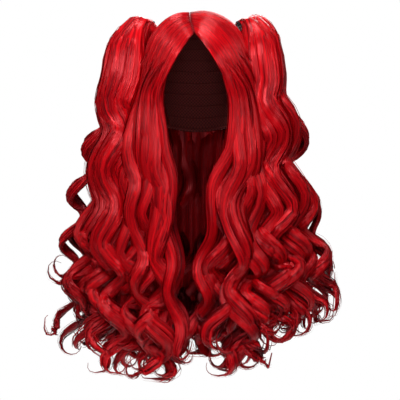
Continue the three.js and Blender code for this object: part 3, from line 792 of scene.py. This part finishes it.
def gathered_root(tie, outward, row):
    """Place in a tie that a lock comes from, by its hip's depth and by how far out its crest is."""
    up = tie_frame(outward)[1]
    aside = np.clip((row["hip_y"] - tie[1]) / GATHER_HIP, -1, 1)
    high = np.clip((row["out"] - GATHER_OUT) / GATHER_OUT_HALF, -1, 1)
    return tie + GATHER * (GATHER_FLATNESS * aside * np.array([0, 1.0, 0]) + up * high)


def arch(tie, outward, row):
    """Spine of hair that leaves a tie, from its crest over a shoulder down to its foot."""
    hip, knee, foot = leg(row)
    crest_x = tie[0] + outward * CREST_OUT * row["out"]
    crest = np.array([crest_x, lerp(tie[1], hip[1], CREST_SPREAD), tie[2] + row["up"]])
    shoulder_x = tie[0] + lerp(outward * row["out"], hip[0] - tie[0], SHOULDER_OUT)
    shoulder_z = lerp(crest[2], hip[2], SHOULDER_DOWN)
    shoulder = np.array([shoulder_x, lerp(tie[1], hip[1], SHOULDER_SPREAD), shoulder_z])
    return crest, shoulder, hip, knee, foot


def ponytail_facing(spine, away):
    """The way that a ponytail lock's face looks: up over the crest, then away from the core."""
    crest = int(np.argmax(spine[:, 2]))
    fallen = np.where(np.arange(len(spine)) < crest, 0.0, spine[crest, 2] - spine[:, 2])
    up = unit(np.array([0, 0, 1.0]) + CREST_LEAN * away)
    return unit(lerp(up, away, smooth(fallen / CREST_TURN)[:, None]))


def hanging_facing(spine, away):
    """The way that a hanging lock's face looks: away from the head, then away from the body."""
    return unit(lerp(unit(spine - HEAD_CENTRE), away, rise(spine[:, 2:], HEAD_FACING_Z)))


def rolled(line, outward, lock):
    """End of a lock, which rolls up into a ring beyond a line's end, its facing, and how far that sets in."""
    yaw = rng.normal() * ROLL_YAW * lock["loose"]
    axis = unit(np.array([math.sin(yaw), outward * lock["roll"] * math.cos(yaw), rng.normal() * ROLL_TILT]))
    ahead = square(unit(line[-1] - line[-ROLL_HEADING]), axis)
    side = np.cross(axis, ahead)
    angle = np.linspace(0, ROLL_TURN * rng.uniform(*ROLL_TURN_RANGE), ROLL_POINTS)[1:, None]
    c, s = np.cos(angle), np.sin(angle)
    step = lock["ring"] * lerp(1.0, ROLL_TIGHTENING, angle / angle[-1]) * angle[0] * (ahead * c + side * s)
    drift = ROLL_DRIFT * angle / (2 * math.pi) * axis * rng.choice([-1, 1])
    return line[-1] + np.cumsum(step, axis=0) + drift, ahead * s - side * c, smooth(angle / ROLL_FACING)


def wound(spine, facing, outward, lock, wave_from):
    """Line that winds round a spine, in waves that tighten into a curl and a rolled end, and its facing."""
    s = lengths(spine)
    tight = rise(s / s[-1], RINGLET_SPAN)
    crest = int(np.argmax(spine[:, 2]))
    fall = -spine[crest:, 2]
    turn = running(2 * math.pi * np.diff(s) / lerp(lock["pitch"], lock["coil"], tight[1:]))
    turn -= np.interp(np.interp(-lock["bulge"], fall, s[crest:]), s, turn)
    begin = np.interp(-wave_from, fall, s[crest:])
    swing = lerp(lock["wave"], lock["curl"], tight) * smooth((s - begin) / WAVE_GROWTH)
    depth = np.sin(turn) * lerp(WAVE_FLATNESS, lock["hand"] * CURL_FLATNESS, tight)
    radial = np.stack([outward * np.cos(turn), depth, np.zeros(len(turn))], -1)
    line = spine + radial * swing[:, None]
    face = facing + radial * (swing / FACING_SWING)[:, None]
    ring, ring_face, share = rolled(line, outward, lock)
    line = np.vstack([line, ring])
    face = np.vstack([face, lerp(unit(face[-1:]), ring_face, share)])
    for axis, ease, limit in REACH:
        line[:, axis] = held(line[:, axis], ease, limit)
    return beside(line, face, lock), face


def sub_locks(columns, table):
    """The sub-locks of each row: the lock itself, and neighbours that part from it towards the end."""
    for row in rows_of(columns, table):
        for part in range(SPLIT):
            amount = float(part > 0)
            made = {**row, "part": part, "loose": lerp(*LOOSENESS, amount)}
            for key, spread in JITTER.items():
                made[key] += amount * rng.normal() * spread
            made["ring"] = max(made["ring"], RING_LEAST)
            for key, limits in JITTER_RANGES.items():
                made[key] *= 1 + amount * rng.uniform(*limits)
            made["roll"] *= 1 if rng.uniform() > ROLL_FLIP * amount else -1
            yield made


def beside(guide, face, lock):
    """A sub-lock's guide moved to its place across the row: not at the root, and less where the curls are."""
    s = lengths(guide)
    s = s / s[-1]
    share = rise(s, BESIDE_SPAN) * lerp(1.0, BESIDE_END, rise(s, BESIDE_END_SPAN))
    shift = (lock["part"] - (SPLIT - 1) / 2) * BESIDE * lock["width"]
    return guide + unit(np.cross(heading(guide), face)) * (shift * share)[:, None]


def set_buried(locks):
    """Gives each lock how much hair of the other locks lies in front of its guide, from 0 to 1, for painted
    shade.
    """
    thinned = [lock["guide"][::BURIED_EVERY] for lock in locks]
    everything = np.concatenate(thinned)
    owner = np.repeat(np.arange(len(locks)), [len(points) for points in thinned])
    for i, lock in enumerate(locks):
        ahead = thinned[i] + BURIED_AHEAD * unit(lock["face"][::BURIED_EVERY])
        near = np.linalg.norm(ahead[:, None] - everything, axis=-1) < BURIED_NEAR
        share = smooth((near & (owner != i)).sum(1) / BURIED_FULL)
        at = np.arange(len(lock["guide"]))
        lock["buried"] = np.interp(at, at[::BURIED_EVERY], share)


# Locks of hair

def add_lock(bundle, lock, ribbons, profiles, lift=0.0):
    """One lock: a slim body, ribbons of hair that lie on it, and loose strands, all along its guide.
    profiles are its width and its depth along it. Strips are drawn together at its root, if it has one, and
    lift is how far they rise off the head."""
    width, depth = lock["width"] * SUB_LOCK_WIDTH, lock["depth"] * SUB_LOCK_DEPTH
    at = paced(lock["guide"], LOCK_STEPS, BEND_WEIGHT)
    line = sampled(lock["guide"], at)
    along = lengths(line)
    t = along / along[-1]
    tangent = heading(line)
    look = square(sampled(lock["face"], at), tangent)
    wide = np.cross(tangent, look)
    parted = rise(t, PARTED_SPAN)
    # Painted shade on locks that others lie over
    shadow = BURIED_PAINTED_SHADE * parted * np.interp(at, np.arange(len(lock["buried"])), lock["buried"])
    share_wide, share_deep = (profile_at(profile, t) for profile in profiles)
    slim = 0.5 * profile_at(BODY_PROFILE, t)
    flute = flutes(LOCK_STEPS, LOCK_SIDES, BODY_FLUTES)
    start = rng.uniform(0, STREAK_ACROSS)
    # The body is darkened with painted shade
    add_tube(
        bundle, line, look, wide, (slim * width * share_wide, slim * depth * share_deep), LOCK_SIDES,
        (1, along * STREAK_A_MM), ROOM["body"], flute, BODY_PAINTED_SHADE * parted + shadow, start,
    )

    many = ribbons + LOOSE_STRANDS
    loose = np.arange(many) >= ribbons
    spaced = math.pi * lerp(*RIBBON_ARC, (np.arange(many) + rng.uniform(0, 1, many)) / ribbons)
    outer = (rng.uniform(0, 1, many) < OUTER_SHARE) & ~loose
    phase = np.where(outer, spaced, rng.uniform(0, 2 * math.pi, many))
    twist = rng.choice([-1, 1]) * rng.uniform(*TWIST_RANGE)
    turn = phase[:, None] + twist * t + wander(many, LOCK_STEPS, *TURN_WANDER)
    out = rng.uniform(*OUT_RANGE, many)[:, None] * (1 + wander(many, LOCK_STEPS, *OUT_WANDER))
    stray = 1 + parted * np.abs(wander(many, LOCK_STEPS, *STRAY_WANDER))
    fray = 1 + FRAY * rise(t, FRAY_SPAN) * rng.uniform(0, 1, many)[:, None]
    reach = np.where(loose[:, None], stray, out) * fray
    stop = np.where(loose, rng.uniform(*STRAND_STOP_RANGE, many), rng.uniform(*RIBBON_STOP_RANGE, many))
    own = stop[:, None] * t
    step = np.interp(own, t, np.arange(LOCK_STEPS))
    centre, across, ahead = (sampled(values, step) for values in (line, wide, look))
    reach_wide = (0.5 * width * np.interp(own, t, share_wide) * reach)[..., None]
    reach_deep = (0.5 * depth * np.interp(own, t, share_deep) * reach)[..., None]
    c, s = np.cos(turn)[..., None], np.sin(turn)[..., None]
    lines = centre + across * reach_wide * c + ahead * reach_deep * s
    emerged = smooth((t - rng.uniform(*LIFT_START_RANGE, many)[:, None]) / LIFT_LENGTH)
    risen = lift * emerged * (1 - rise(t, LIFT_FADE_SPAN))
    lines += ahead * risen[..., None] * rise(s, LIFT_SIDES)
    if "root" in lock:
        drawn = lerp(lock["root"], lines, GATHER_SHARE)
        lines = lerp(lines, drawn, (1 - rise(t, GATHER_SPAN))[:, None])

    # Painted shade on ribbons on a lock's inner and back sides, and on covered locks; the random part is a
    # darker tone per ribbon
    edge_shade = EDGE_PAINTED_SHADE * parted * rise(s, EDGE_SHADE_SIDES)[..., 0]
    shade_and_tone = np.where(loose[:, None], 0.0, edge_shade + rng.uniform(0, RIBBON_DEPTH, many)[:, None])
    shade_and_tone = shade_and_tone + np.interp(own, t, shadow)
    outward = unit(across * c / width + ahead * s / depth)
    sizes = profile_at(RIBBON_PROFILE, t) * lerp(1, share_wide, RIBBON_FOLLOWS)
    for kind, chosen in ((RIBBON, ~loose), (STRAND, loose)):
        add_strips(bundle, kind, lines[chosen], outward[chosen], sizes, along * STREAK_A_MM, shade_and_tone[chosen])


def add_cover(bundle, tie, outward, lock, bare):
    """Smooth ribbons that start outside the clip and lie over it, then run on along a lock.
    bare is the angle round the clip that they leave open, or None."""
    level, up, leave = tie_frame(outward)
    at = np.linspace(0, COVER_TO, COVER_STEPS) * (len(lock["guide"]) - 1)
    line, look = sampled(lock["guide"], at), unit(sampled(lock["face"], at))
    away = line[COVER_AIM_STEP] - tie
    angle = math.atan2(away.dot(up), away.dot(level)) + rng.normal(size=COVER_RIBBONS) * COVER_SPREAD
    anywhere = rng.uniform(0, 1, COVER_RIBBONS) < COVER_ANYWHERE
    angle = np.where(anywhere, rng.uniform(*COVER_ANGLE_RANGE, COVER_RIBBONS), angle)
    if bare is not None:
        angle = angle[np.abs((angle - bare + math.pi) % (2 * math.pi) - math.pi) > BARE_HALF]
    n = len(angle)
    if n == 0:
        return
    spoke = np.cos(angle)[:, None] * level + np.sin(angle)[:, None] * up
    sideways = np.cross(heading(line), look) * rng.normal(size=n)[:, None, None] * COVER_BESIDE
    on_lock = line + look * 0.5 * lock["depth"] * SUB_LOCK_DEPTH + sideways
    t = np.linspace(0, 1, COVER_STEPS)
    start = tie + COVER_ROOT * spoke - COVER_ROOT_BEHIND * leave
    over = tie + COVER_RING * spoke + COVER_RING_AHEAD * leave
    on_clip = lerp(start[:, None], over[:, None], rise(t, COVER_RING_SPAN)[:, None])
    arrived = rise(t, COVER_LOCK_SPAN)[:, None]
    lines, facing = lerp(on_clip, on_lock, arrived), lerp(spoke[:, None], look, arrived)
    add_strips(bundle, COVER, lines, facing, profile_at(RIBBON_PROFILE, t), t * LAID_STREAK)


def add_core(bundle, tie, outward, core):
    """Plain hair inside a ponytail, which the locks lie round."""
    line = even_curve([tie, *arch(tie, outward, core)], CORE_FINE, CORE_STEPS)
    t = np.linspace(0, 1, CORE_STEPS)
    half = profile_at(CORE_PROFILE, t) / 2
    thin, wide = frames(line, (0, 1, 0))
    add_tube(
        bundle, line, thin, wide, (half * core["width"], half * core["depth"]), CORE_SIDES,
        (CORE_STREAK, lengths(line) * STREAK_A_MM), ROOM["core"],
        flutes(CORE_STEPS, CORE_SIDES, CORE_FLUTES), CORE_PAINTED_SHADE * rise(t, CORE_SHADE_SPAN),
    )


def add_curtain(bundle, rows):
    """Closed sheet of plain hair that hangs inside a row of locks."""
    v = np.linspace(CURTAIN_EDGE, 1 - CURTAIN_EDGE, CURTAIN_ACROSS)
    u = np.linspace(0, 1, CURTAIN_ALONG)
    hips, knees, feet = (np.array(points) for points in zip(*(leg(row) for row in rows)))
    feet[:, 2] = CURTAIN_END
    across = np.stack([curve_at(points, v) for points in (CURTAIN_ROOTS, hips, knees, feet)], 1)
    sheet = np.stack([curve_at(points, u) for points in across], 1)
    inward = -unit(sheet * BODY_OVAL)
    pleats = PLEAT * np.sin(v * PLEAT_WAVES) * rise(u, PLEAT_SPAN)[:, None]
    folds = FOLD * np.sin(v * FOLD_WAVES + u[:, None] * FOLD_SLANT)
    room = rise(u, CURTAIN_ROOM_SPAN)
    outer = sheet + inward * ((CURTAIN_INSIDE + pleats + folds) * room[:, None])[..., None]
    thick = lerp(*CURTAIN_THICK, room) * profile_at(CURTAIN_PROFILE, u)
    inner = outer + inward * thick[:, None, None]
    rings = outside_out(np.concatenate([outer, inner[:, ::-1]], 1)[None])
    bundle.grid(rings, sheet_streak(v), u[None] * CURTAIN_STREAK, ROOM["curtain"], depth=CURTAIN_PAINTED_SHADE)


def ponytail(name, tie, table, core_row, outward, bare=None):
    """Locks gathered at a tie round a core, with smooth hair over the clip except at the angle bare."""
    bundle = Bundle()
    core = rows_of(CORE_COLUMNS, [core_row])[0]
    locks = []
    for lock in sub_locks(PONYTAIL_COLUMNS, table):
        lock["root"] = gathered_root(tie, outward, lock)
        spine = even_curve([lock["root"], *arch(tie, outward, lock)], SPINE_FINE, GUIDE_POINTS)
        facing = ponytail_facing(spine, unit((leg(lock)[0] - leg(core)[0]) * (1, 1, 0)))
        lock["guide"], lock["face"] = wound(spine, facing, outward, lock, PONYTAIL_WAVE_FROM)
        locks.append(lock)
    set_buried(locks)
    for lock in locks:
        add_lock(bundle, lock, PONYTAIL_RIBBONS, (PONYTAIL_PROFILE, PONYTAIL_PROFILE))
        add_cover(bundle, tie, outward, lock, bare)
    add_core(bundle, tie, outward, core)
    bundle.build(name + "_locks", hair, "root", name)


def hanging(name, table, laid_rows, ribbons, curtain=False):
    """Long locks that come out of the hair laid on the head, with a curtain inside them if asked for."""
    bundle = Bundle()
    locks = []
    for lock in sub_locks(HANGING_COLUMNS, table):
        v = lock["v"] + (rng.uniform(*NEIGHBOUR_V_RANGE) if lock["part"] > 0 else 0.0)
        across = np.full(len(LAID_PLACES), np.clip(v, *V_LIMITS))
        laid = on_head(laid_path(laid_rows, LAID_PLACES, across), HANGING_LAYER)
        hip, knee, foot = leg(lock)
        spine = even_curve([*laid, hip, knee, foot], SPINE_FINE, GUIDE_POINTS)
        facing = hanging_facing(spine, unit(hip * BODY_OVAL))
        outward = math.copysign(1.0, hip[0])
        lock["guide"], lock["face"] = wound(spine, facing, outward, lock, HANGING_WAVE_FROM)
        locks.append(lock)
    set_buried(locks)
    for lock in locks:
        add_lock(bundle, lock, ribbons, (HANGING_WIDE_PROFILE, HANGING_DEEP_PROFILE), LIFT_OVER_FRINGE)
    if curtain:
        add_curtain(bundle, rows_of(HANGING_COLUMNS, table))
    bundle.build(name + "_locks", hair, "root", name)


# Smooth hair on the head

def add_sheet(bundle, rows, across):
    """Closed backing sheet under laid strands, as one tube that runs round its edges."""
    u = np.linspace(*SHEET_ALONG, SHEET_STEPS)
    v = np.linspace(*SHEET_ACROSS, across)
    uu, vv = np.meshgrid(u, np.concatenate([v, v[::-1]]), indexing="ij")
    sink = lerp(*SHEET_SINK, rise(uu, SHEET_SINK_SPAN))
    ripple = RIPPLE * np.sin(vv * RIPPLE_WAVES[0]) * np.sin(vv * RIPPLE_WAVES[1] + 1)
    top = lerp(laid_offset(uu) - sink + ripple, HAIR_UNDERSIDE + SHEET_EDGE, rise(uu, SHEET_EDGE_SPAN))
    offset = np.where(np.arange(2 * across) < across, top, HAIR_UNDERSIDE)
    points = on_head(laid_path(rows, uu.ravel(), vv.ravel()), offset.ravel())
    rings = outside_out(points.reshape(1, SHEET_STEPS, 2 * across, 3))
    dark = parting_shade(u)[None, :, None]
    bundle.grid(rings, sheet_streak(v), u[None] * LAID_STREAK, ROOM["sheet"], depth=dark)


def add_laid(bundle, rows, strands, longest):
    """Fine strands that lie on the sheet, from the parting down."""
    v = (np.arange(strands) + rng.uniform(0, 1, strands)) / strands
    start = rng.uniform(*LAID_START_RANGE, strands)[:, None]
    stop = rng.uniform(LAID_SHORTEST, longest, strands)[:, None]
    t = np.linspace(0, 1, LAID_STEPS)
    u = lerp(start, stop, t)
    drift = wander(strands, LAID_STEPS, *LAID_WANDER) * rise(t, LAID_WANDER_SPAN)
    vv = np.clip(v[:, None] + drift, 0.0, 1.0)
    layer = rng.uniform(*LAID_LAYER_RANGE, strands)[:, None] + wander(strands, LAID_STEPS, *LAID_LAYER_WANDER)
    offset = laid_offset(u) + layer - LAID_TUCK * rise(u, LAID_TUCK_SPAN)
    lines = on_head(laid_path(rows, u.ravel(), vv.ravel()), offset.ravel()).reshape(strands, LAID_STEPS, 3)
    outward = unit(lines - HEAD_CENTRE)
    add_strips(bundle, LAID, lines, outward, profile_at(LAID_PROFILE, t), t * LAID_STREAK, parting_shade(u))


def laid_hair(name, rows, strands, sheet_across, longest):
    """Smooth layer of hair on the head: a sheet with strands on it."""
    bundle = Bundle()
    add_sheet(bundle, rows, sheet_across)
    add_laid(bundle, rows, strands, longest)
    bundle.build(name + "_strands", hair, "root", name)


# Cap

def rim_angle(turn):
    """Angle from straight up at which the head's surface is at the rim's height."""
    height = profile_at(CAP_RIM_PROFILE, np.abs(np.degrees(turn))) - HEAD_CENTRE[2]
    tall = np.where(height > 0, HEAD_ABOVE, HEAD_BELOW)
    wide = np.abs(np.sin(turn) / HEAD_HALF_WIDTH) ** HEAD_POWER
    deep = np.abs(np.cos(turn) / HEAD_HALF_DEPTH) ** HEAD_POWER
    reach = ((1 - np.abs(height / tall) ** HEAD_POWER) / (wide + deep)) ** (1 / HEAD_POWER)
    return np.arctan2(reach, height)


def cap_points(turn, fall, offset):
    """Points over the head, at angles round it from the front and down from the top."""
    d = np.stack([np.sin(fall) * np.sin(turn), -np.sin(fall) * np.cos(turn), np.cos(fall)], -1)
    return on_head(HEAD_CENTRE + d, offset)


def cap_piece():
    """Net dome with an outer and an inner wall, and weft rows and a hem sewn inside it."""
    bundle = Bundle()
    turn = np.linspace(-math.pi, math.pi, CAP_SPOKES, endpoint=False)
    down = np.linspace(CAP_POLE, 1, CAP_RINGS)
    down = np.concatenate([down, down[::-1]])
    offset = np.repeat([CAP_WALL, CAP_INSIDE], CAP_RINGS)
    rings = outside_out(cap_points(turn, down[:, None] * rim_angle(turn), offset[:, None])[None])
    streak_u = np.linspace(0, CAP_THREADS[0], CAP_SPOKES + 1)
    bundle.grid(rings, streak_u[None], down[None] * CAP_THREADS[1], ROOM["cap"])
    closed = np.linspace(-math.pi, math.pi, CAP_SPOKES + 1)
    seams = [((k + 1) / (WEFT_ROWS + 1), WEFT) for k in range(WEFT_ROWS)] + [(HEM_LEVEL, HEM)]
    for level, seam in seams:
        line = cap_points(closed, level * rim_angle(closed), seam["offset"])
        out = unit(line - HEAD_CENTRE)
        cross = np.cross(heading(np.vstack([line[-2], line, line[1]]))[1:-1], out)
        streak = (SEAM_THREADS[0], np.linspace(0, SEAM_THREADS[1], len(line)))
        add_tube(bundle, line, out, cross, seam["halves"], SEAM_SIDES, streak, ROOM["seam"])
    bundle.build("wig_cap_net", net, "root", "wig_cap")


# Claw clips

def clip_piece(name, tie, outward):
    """Claw clip round a tie, built on the tie's own directions."""
    bundle = Bundle()
    axes = np.array(tie_frame(outward))
    leave = axes[2]

    def tube(local, halves, first, sides):
        line = tie + local @ axes
        streak = (CLIP_STREAK[0], np.linspace(0, CLIP_STREAK[1], len(line)))
        add_tube(bundle, line, *frames(line, first), halves, sides, streak, ROOM["clip"])

    def circle(angle, radius):
        return radius * np.cos(angle), radius * np.sin(angle)

    turn = np.linspace((CLIP_OPENING - math.pi) / 2, (3 * math.pi - CLIP_OPENING) / 2, CLIP_STEPS)
    for level, half_wide in CLIP_RING_LEVELS:
        ring = np.stack([*circle(turn, CLIP_RADIUS), np.full(CLIP_STEPS, CLIP_LIFT + level)], -1)
        tube(ring, (half_wide, CLIP_HALF_THICK), leave, CLIP_RING_SIDES)
    for angle in turn[BAR_AT_STEPS]:
        if abs(angle - math.pi / 2) >= BAR_CLEAR_OF_AXLE:
            bar = np.tile([*circle(angle, CLIP_RADIUS), CLIP_LIFT], (BAR_STEPS, 1))
            bar[:, 2] += np.linspace(-BAR_HALF_LENGTH, BAR_HALF_LENGTH, BAR_STEPS)
            first = (math.cos(angle), BAR_FACING, math.sin(angle))
            tube(bar, (BAR_HALF_WIDE, CLIP_HALF_THICK), first, BAR_SIDES)
    axle = np.tile([0.0, CLIP_RADIUS + AXLE_ABOVE, CLIP_LIFT], (AXLE_STEPS, 1))
    axle[:, 0] = np.linspace(-AXLE_HALF_LENGTH, AXLE_HALF_LENGTH, AXLE_STEPS)
    axle_radius = AXLE_RADIUS * (1 - AXLE_ROUNDED * rise(np.abs(axle[:, 0]), AXLE_ROUNDED_X))
    tube(axle, (axle_radius, axle_radius), leave, AXLE_SIDES)
    over, ahead = circle(np.linspace(0, 2 * math.pi * SPRING_TURNS, SPRING_STEPS), SPRING_RADIUS)
    beside_it = np.linspace(-SPRING_HALF_LENGTH, SPRING_HALF_LENGTH, SPRING_STEPS)
    spring = np.stack([beside_it, CLIP_RADIUS + AXLE_ABOVE + over, CLIP_LIFT + ahead], -1)
    tube(spring, (SPRING_WIRE, SPRING_WIRE), (0, 1, 0), SPRING_SIDES)
    bundle.build(name + "_claw", plastic, "root", name)


# Materials

def colour(*screen):
    """Linear colour of an 8-bit screen colour, by the usual screen curve."""
    linear = [((c / 255 + 0.055) / 1.055) ** 2.4 if c > 10 else c / 255 / 12.92 for c in screen]
    return (*linear, 1.0)


def feed(tree, node, inputs):
    """Sets a node's inputs, or links those whose value is another node's output."""
    for socket, value in inputs.items():
        if isinstance(value, bpy.types.NodeSocket):
            tree.links.new(value, node.inputs[socket])
        else:
            node.inputs[socket].default_value = value


def add_node(tree, kind, inputs, **settings):
    """Adds a node with its settings and inputs, and gives its outputs."""
    node = tree.nodes.new("ShaderNode" + kind)
    for key, value in settings.items():
        setattr(node, key, value)
    feed(tree, node, inputs)
    return node.outputs


def add_ramp(tree, factor, stops):
    node = tree.nodes.new("ShaderNodeValToRGB")
    feed(tree, node, {"Fac": factor})
    elements = node.color_ramp.elements
    while len(elements) < len(stops):
        elements.new(0.5)
    for element, (place, tint) in zip(elements, stops):
        element.position = place
        element.color = colour(*tint)
    return node.outputs["Color"]


def new_material(name):
    material = bpy.data.materials.new(name)
    material.use_nodes = True
    return material, material.node_tree, material.node_tree.nodes["Principled BSDF"]


def hair_material():
    """Glossy fibre with streaks along it, with painted shade: darker where the depth attribute marks deep or
    covered hair.
    """
    material, tree, shader = new_material("red_fibre")
    uv = add_node(tree, "UVMap", {}, uv_map="Streak")["UV"]
    stretched = add_node(tree, "Mapping", {"Vector": uv, "Scale": FIBRE_STRETCH})["Vector"]
    streaks = add_node(tree, "TexNoise", {"Vector": stretched, **FIBRE_STREAKS}, noise_dimensions="2D")
    grooves = add_node(tree, "TexNoise", {"Vector": stretched, **FIBRE_GROOVES}, noise_dimensions="2D")
    shades = add_ramp(tree, streaks["Fac"], FIBRE_SHADES)
    # Painted shade: the depth attribute mixes the colour towards a dark red
    deep = add_node(tree, "Attribute", {}, attribute_name="depth")["Fac"]
    base = add_node(tree, "Mix", {"Factor": deep, "A": shades, "B": colour(*FIBRE_PAINTED_SHADE)}, data_type="RGBA")
    rough = add_node(tree, "MapRange", {"Value": streaks["Fac"], **FIBRE_ROUGHNESS})
    bump = add_node(tree, "Bump", {"Height": grooves["Fac"], **FIBRE_RELIEF})
    fibre = add_node(tree, "Tangent", {}, direction_type="UV_MAP", uv_map="Streak")
    feed(tree, shader, {
        "Base Color": base["Result"],
        "Roughness": rough["Result"],
        "Normal": bump["Normal"],
        "Tangent": fibre["Tangent"],
        **FIBRE_GLOSS,
    })
    return material


def net_material():
    """Matt woven net, a little worn."""
    material, tree, shader = new_material("dark_net")
    uv = add_node(tree, "UVMap", {}, uv_map="Streak")["UV"]
    threads = {"Color1": colour(*NET_LIGHT), "Color2": colour(*NET_DARK), "Scale": NET_CHECKS}
    weave = add_node(tree, "TexChecker", {"Vector": uv, **threads})
    worn = add_node(tree, "TexNoise", {"Vector": uv, "Scale": NET_WEAR_SCALE})
    both = {"Factor": NET_WEAR, "A": weave["Color"], "B": worn["Color"]}
    base = add_node(tree, "Mix", both, data_type="RGBA", blend_type="MULTIPLY")
    bump = add_node(tree, "Bump", {"Height": weave["Fac"], **NET_RELIEF})
    feed(tree, shader, {"Base Color": base["Result"], "Normal": bump["Normal"], "Roughness": NET_ROUGHNESS})
    return material


def plastic_material():
    """Black plastic with a slightly uneven gloss."""
    material, tree, shader = new_material("black_gloss_plastic")
    place = add_node(tree, "TexCoord", {})["Object"]
    mottle = add_node(tree, "TexNoise", {"Vector": place, "Scale": PLASTIC_MOTTLE})["Fac"]
    shades = add_ramp(tree, mottle, PLASTIC_SHADES)
    rough = add_node(tree, "MapRange", {"Value": mottle, **PLASTIC_ROUGHNESS})
    feed(tree, shader, {"Base Color": shades, "Roughness": rough["Result"]})
    return material


# Stage

def add_floor():
    turn = np.linspace(0, 2 * math.pi, FLOOR_SIDES, endpoint=False)
    ring = [(FLOOR_RADIUS * math.cos(a), FLOOR_RADIUS * math.sin(a), FLOOR_Z) for a in turn]
    mesh = bpy.data.meshes.new("floor")
    mesh.from_pydata(ring, [], [list(range(FLOOR_SIDES))])
    material, tree, shader = new_material("pale_floor")
    feed(tree, shader, FLOOR_FINISH)
    mesh.materials.append(material)
    ob = bpy.data.objects.new("floor", mesh)
    bpy.context.scene.collection.objects.link(ob)


def add_world():
    """White backdrop, with a weaker light from all round."""
    world = bpy.data.worlds.new("studio")
    world.use_nodes = True
    tree = world.node_tree
    tree.nodes.clear()
    path = add_node(tree, "LightPath", {})["Is Camera Ray"]
    ambient = add_node(tree, "Background", {"Color": WHITE, "Strength": AMBIENT})["Background"]
    backdrop = add_node(tree, "Background", {"Color": WHITE, "Strength": BACKDROP})["Background"]
    mix = add_node(tree, "MixShader", {"Fac": path, 1: ambient, 2: backdrop})
    add_node(tree, "OutputWorld", {"Surface": mix["Shader"]})
    bpy.context.scene.world = world


def add_light(name, place, size, power):
    data = bpy.data.lights.new(name, "AREA")
    data.shape = "DISK"
    data.size = size
    data.energy = power
    ob = bpy.data.objects.new(name, data)
    ob.location = place
    ob.rotation_euler = (Vector(LIGHT_TARGET) - Vector(place)).to_track_quat("-Z", "Y").to_euler()
    bpy.context.scene.collection.objects.link(ob)


def add_camera():
    camera = bpy.data.objects.new("camera", bpy.data.cameras.new("camera"))
    bpy.context.scene.collection.objects.link(camera)
    camera.location = CAMERA_PLACE
    camera.rotation_euler = (math.pi / 2, 0, 0)
    camera.data.sensor_width = SENSOR_WIDTH
    camera.data.lens = SENSOR_WIDTH * -CAMERA_PLACE[1] / FRAME_WIDTH
    bpy.context.scene.camera = camera
    bpy.context.scene.view_settings.view_transform = "Standard"


hair = hair_material()
net = net_material()
plastic = plastic_material()

cap_piece()
laid_hair("fringe_left", FRINGE_LEFT_ROWS, **FRINGE)
laid_hair("fringe_right", FRINGE_RIGHT_ROWS, **FRINGE)
laid_hair("crown_hair", CROWN_ROWS, **CROWN)
hanging("front_hair_left", FRONT_LEFT_LOCKS, FRINGE_LEFT_ROWS, FRONT_RIBBONS)
hanging("front_hair_right", FRONT_RIGHT_LOCKS, FRINGE_RIGHT_ROWS, FRONT_RIBBONS)
hanging("back_hair", BACK_LOCKS, CROWN_ROWS, BACK_RIBBONS, curtain=True)
ponytail("ponytail_left", TIE_LEFT, PONYTAIL_LEFT_LOCKS, CORE_LEFT, -1.0)
ponytail("ponytail_right", TIE_RIGHT, PONYTAIL_RIGHT_LOCKS, CORE_RIGHT, 1.0, RIGHT_CLIP_BARE)
clip_piece("ponytail_clip_left", TIE_LEFT, -1.0)
clip_piece("ponytail_clip_right", TIE_RIGHT, 1.0)

add_floor()
add_world()
for light, (place, size, power) in LIGHTS.items():
    add_light(light, place, size, power)
add_camera()
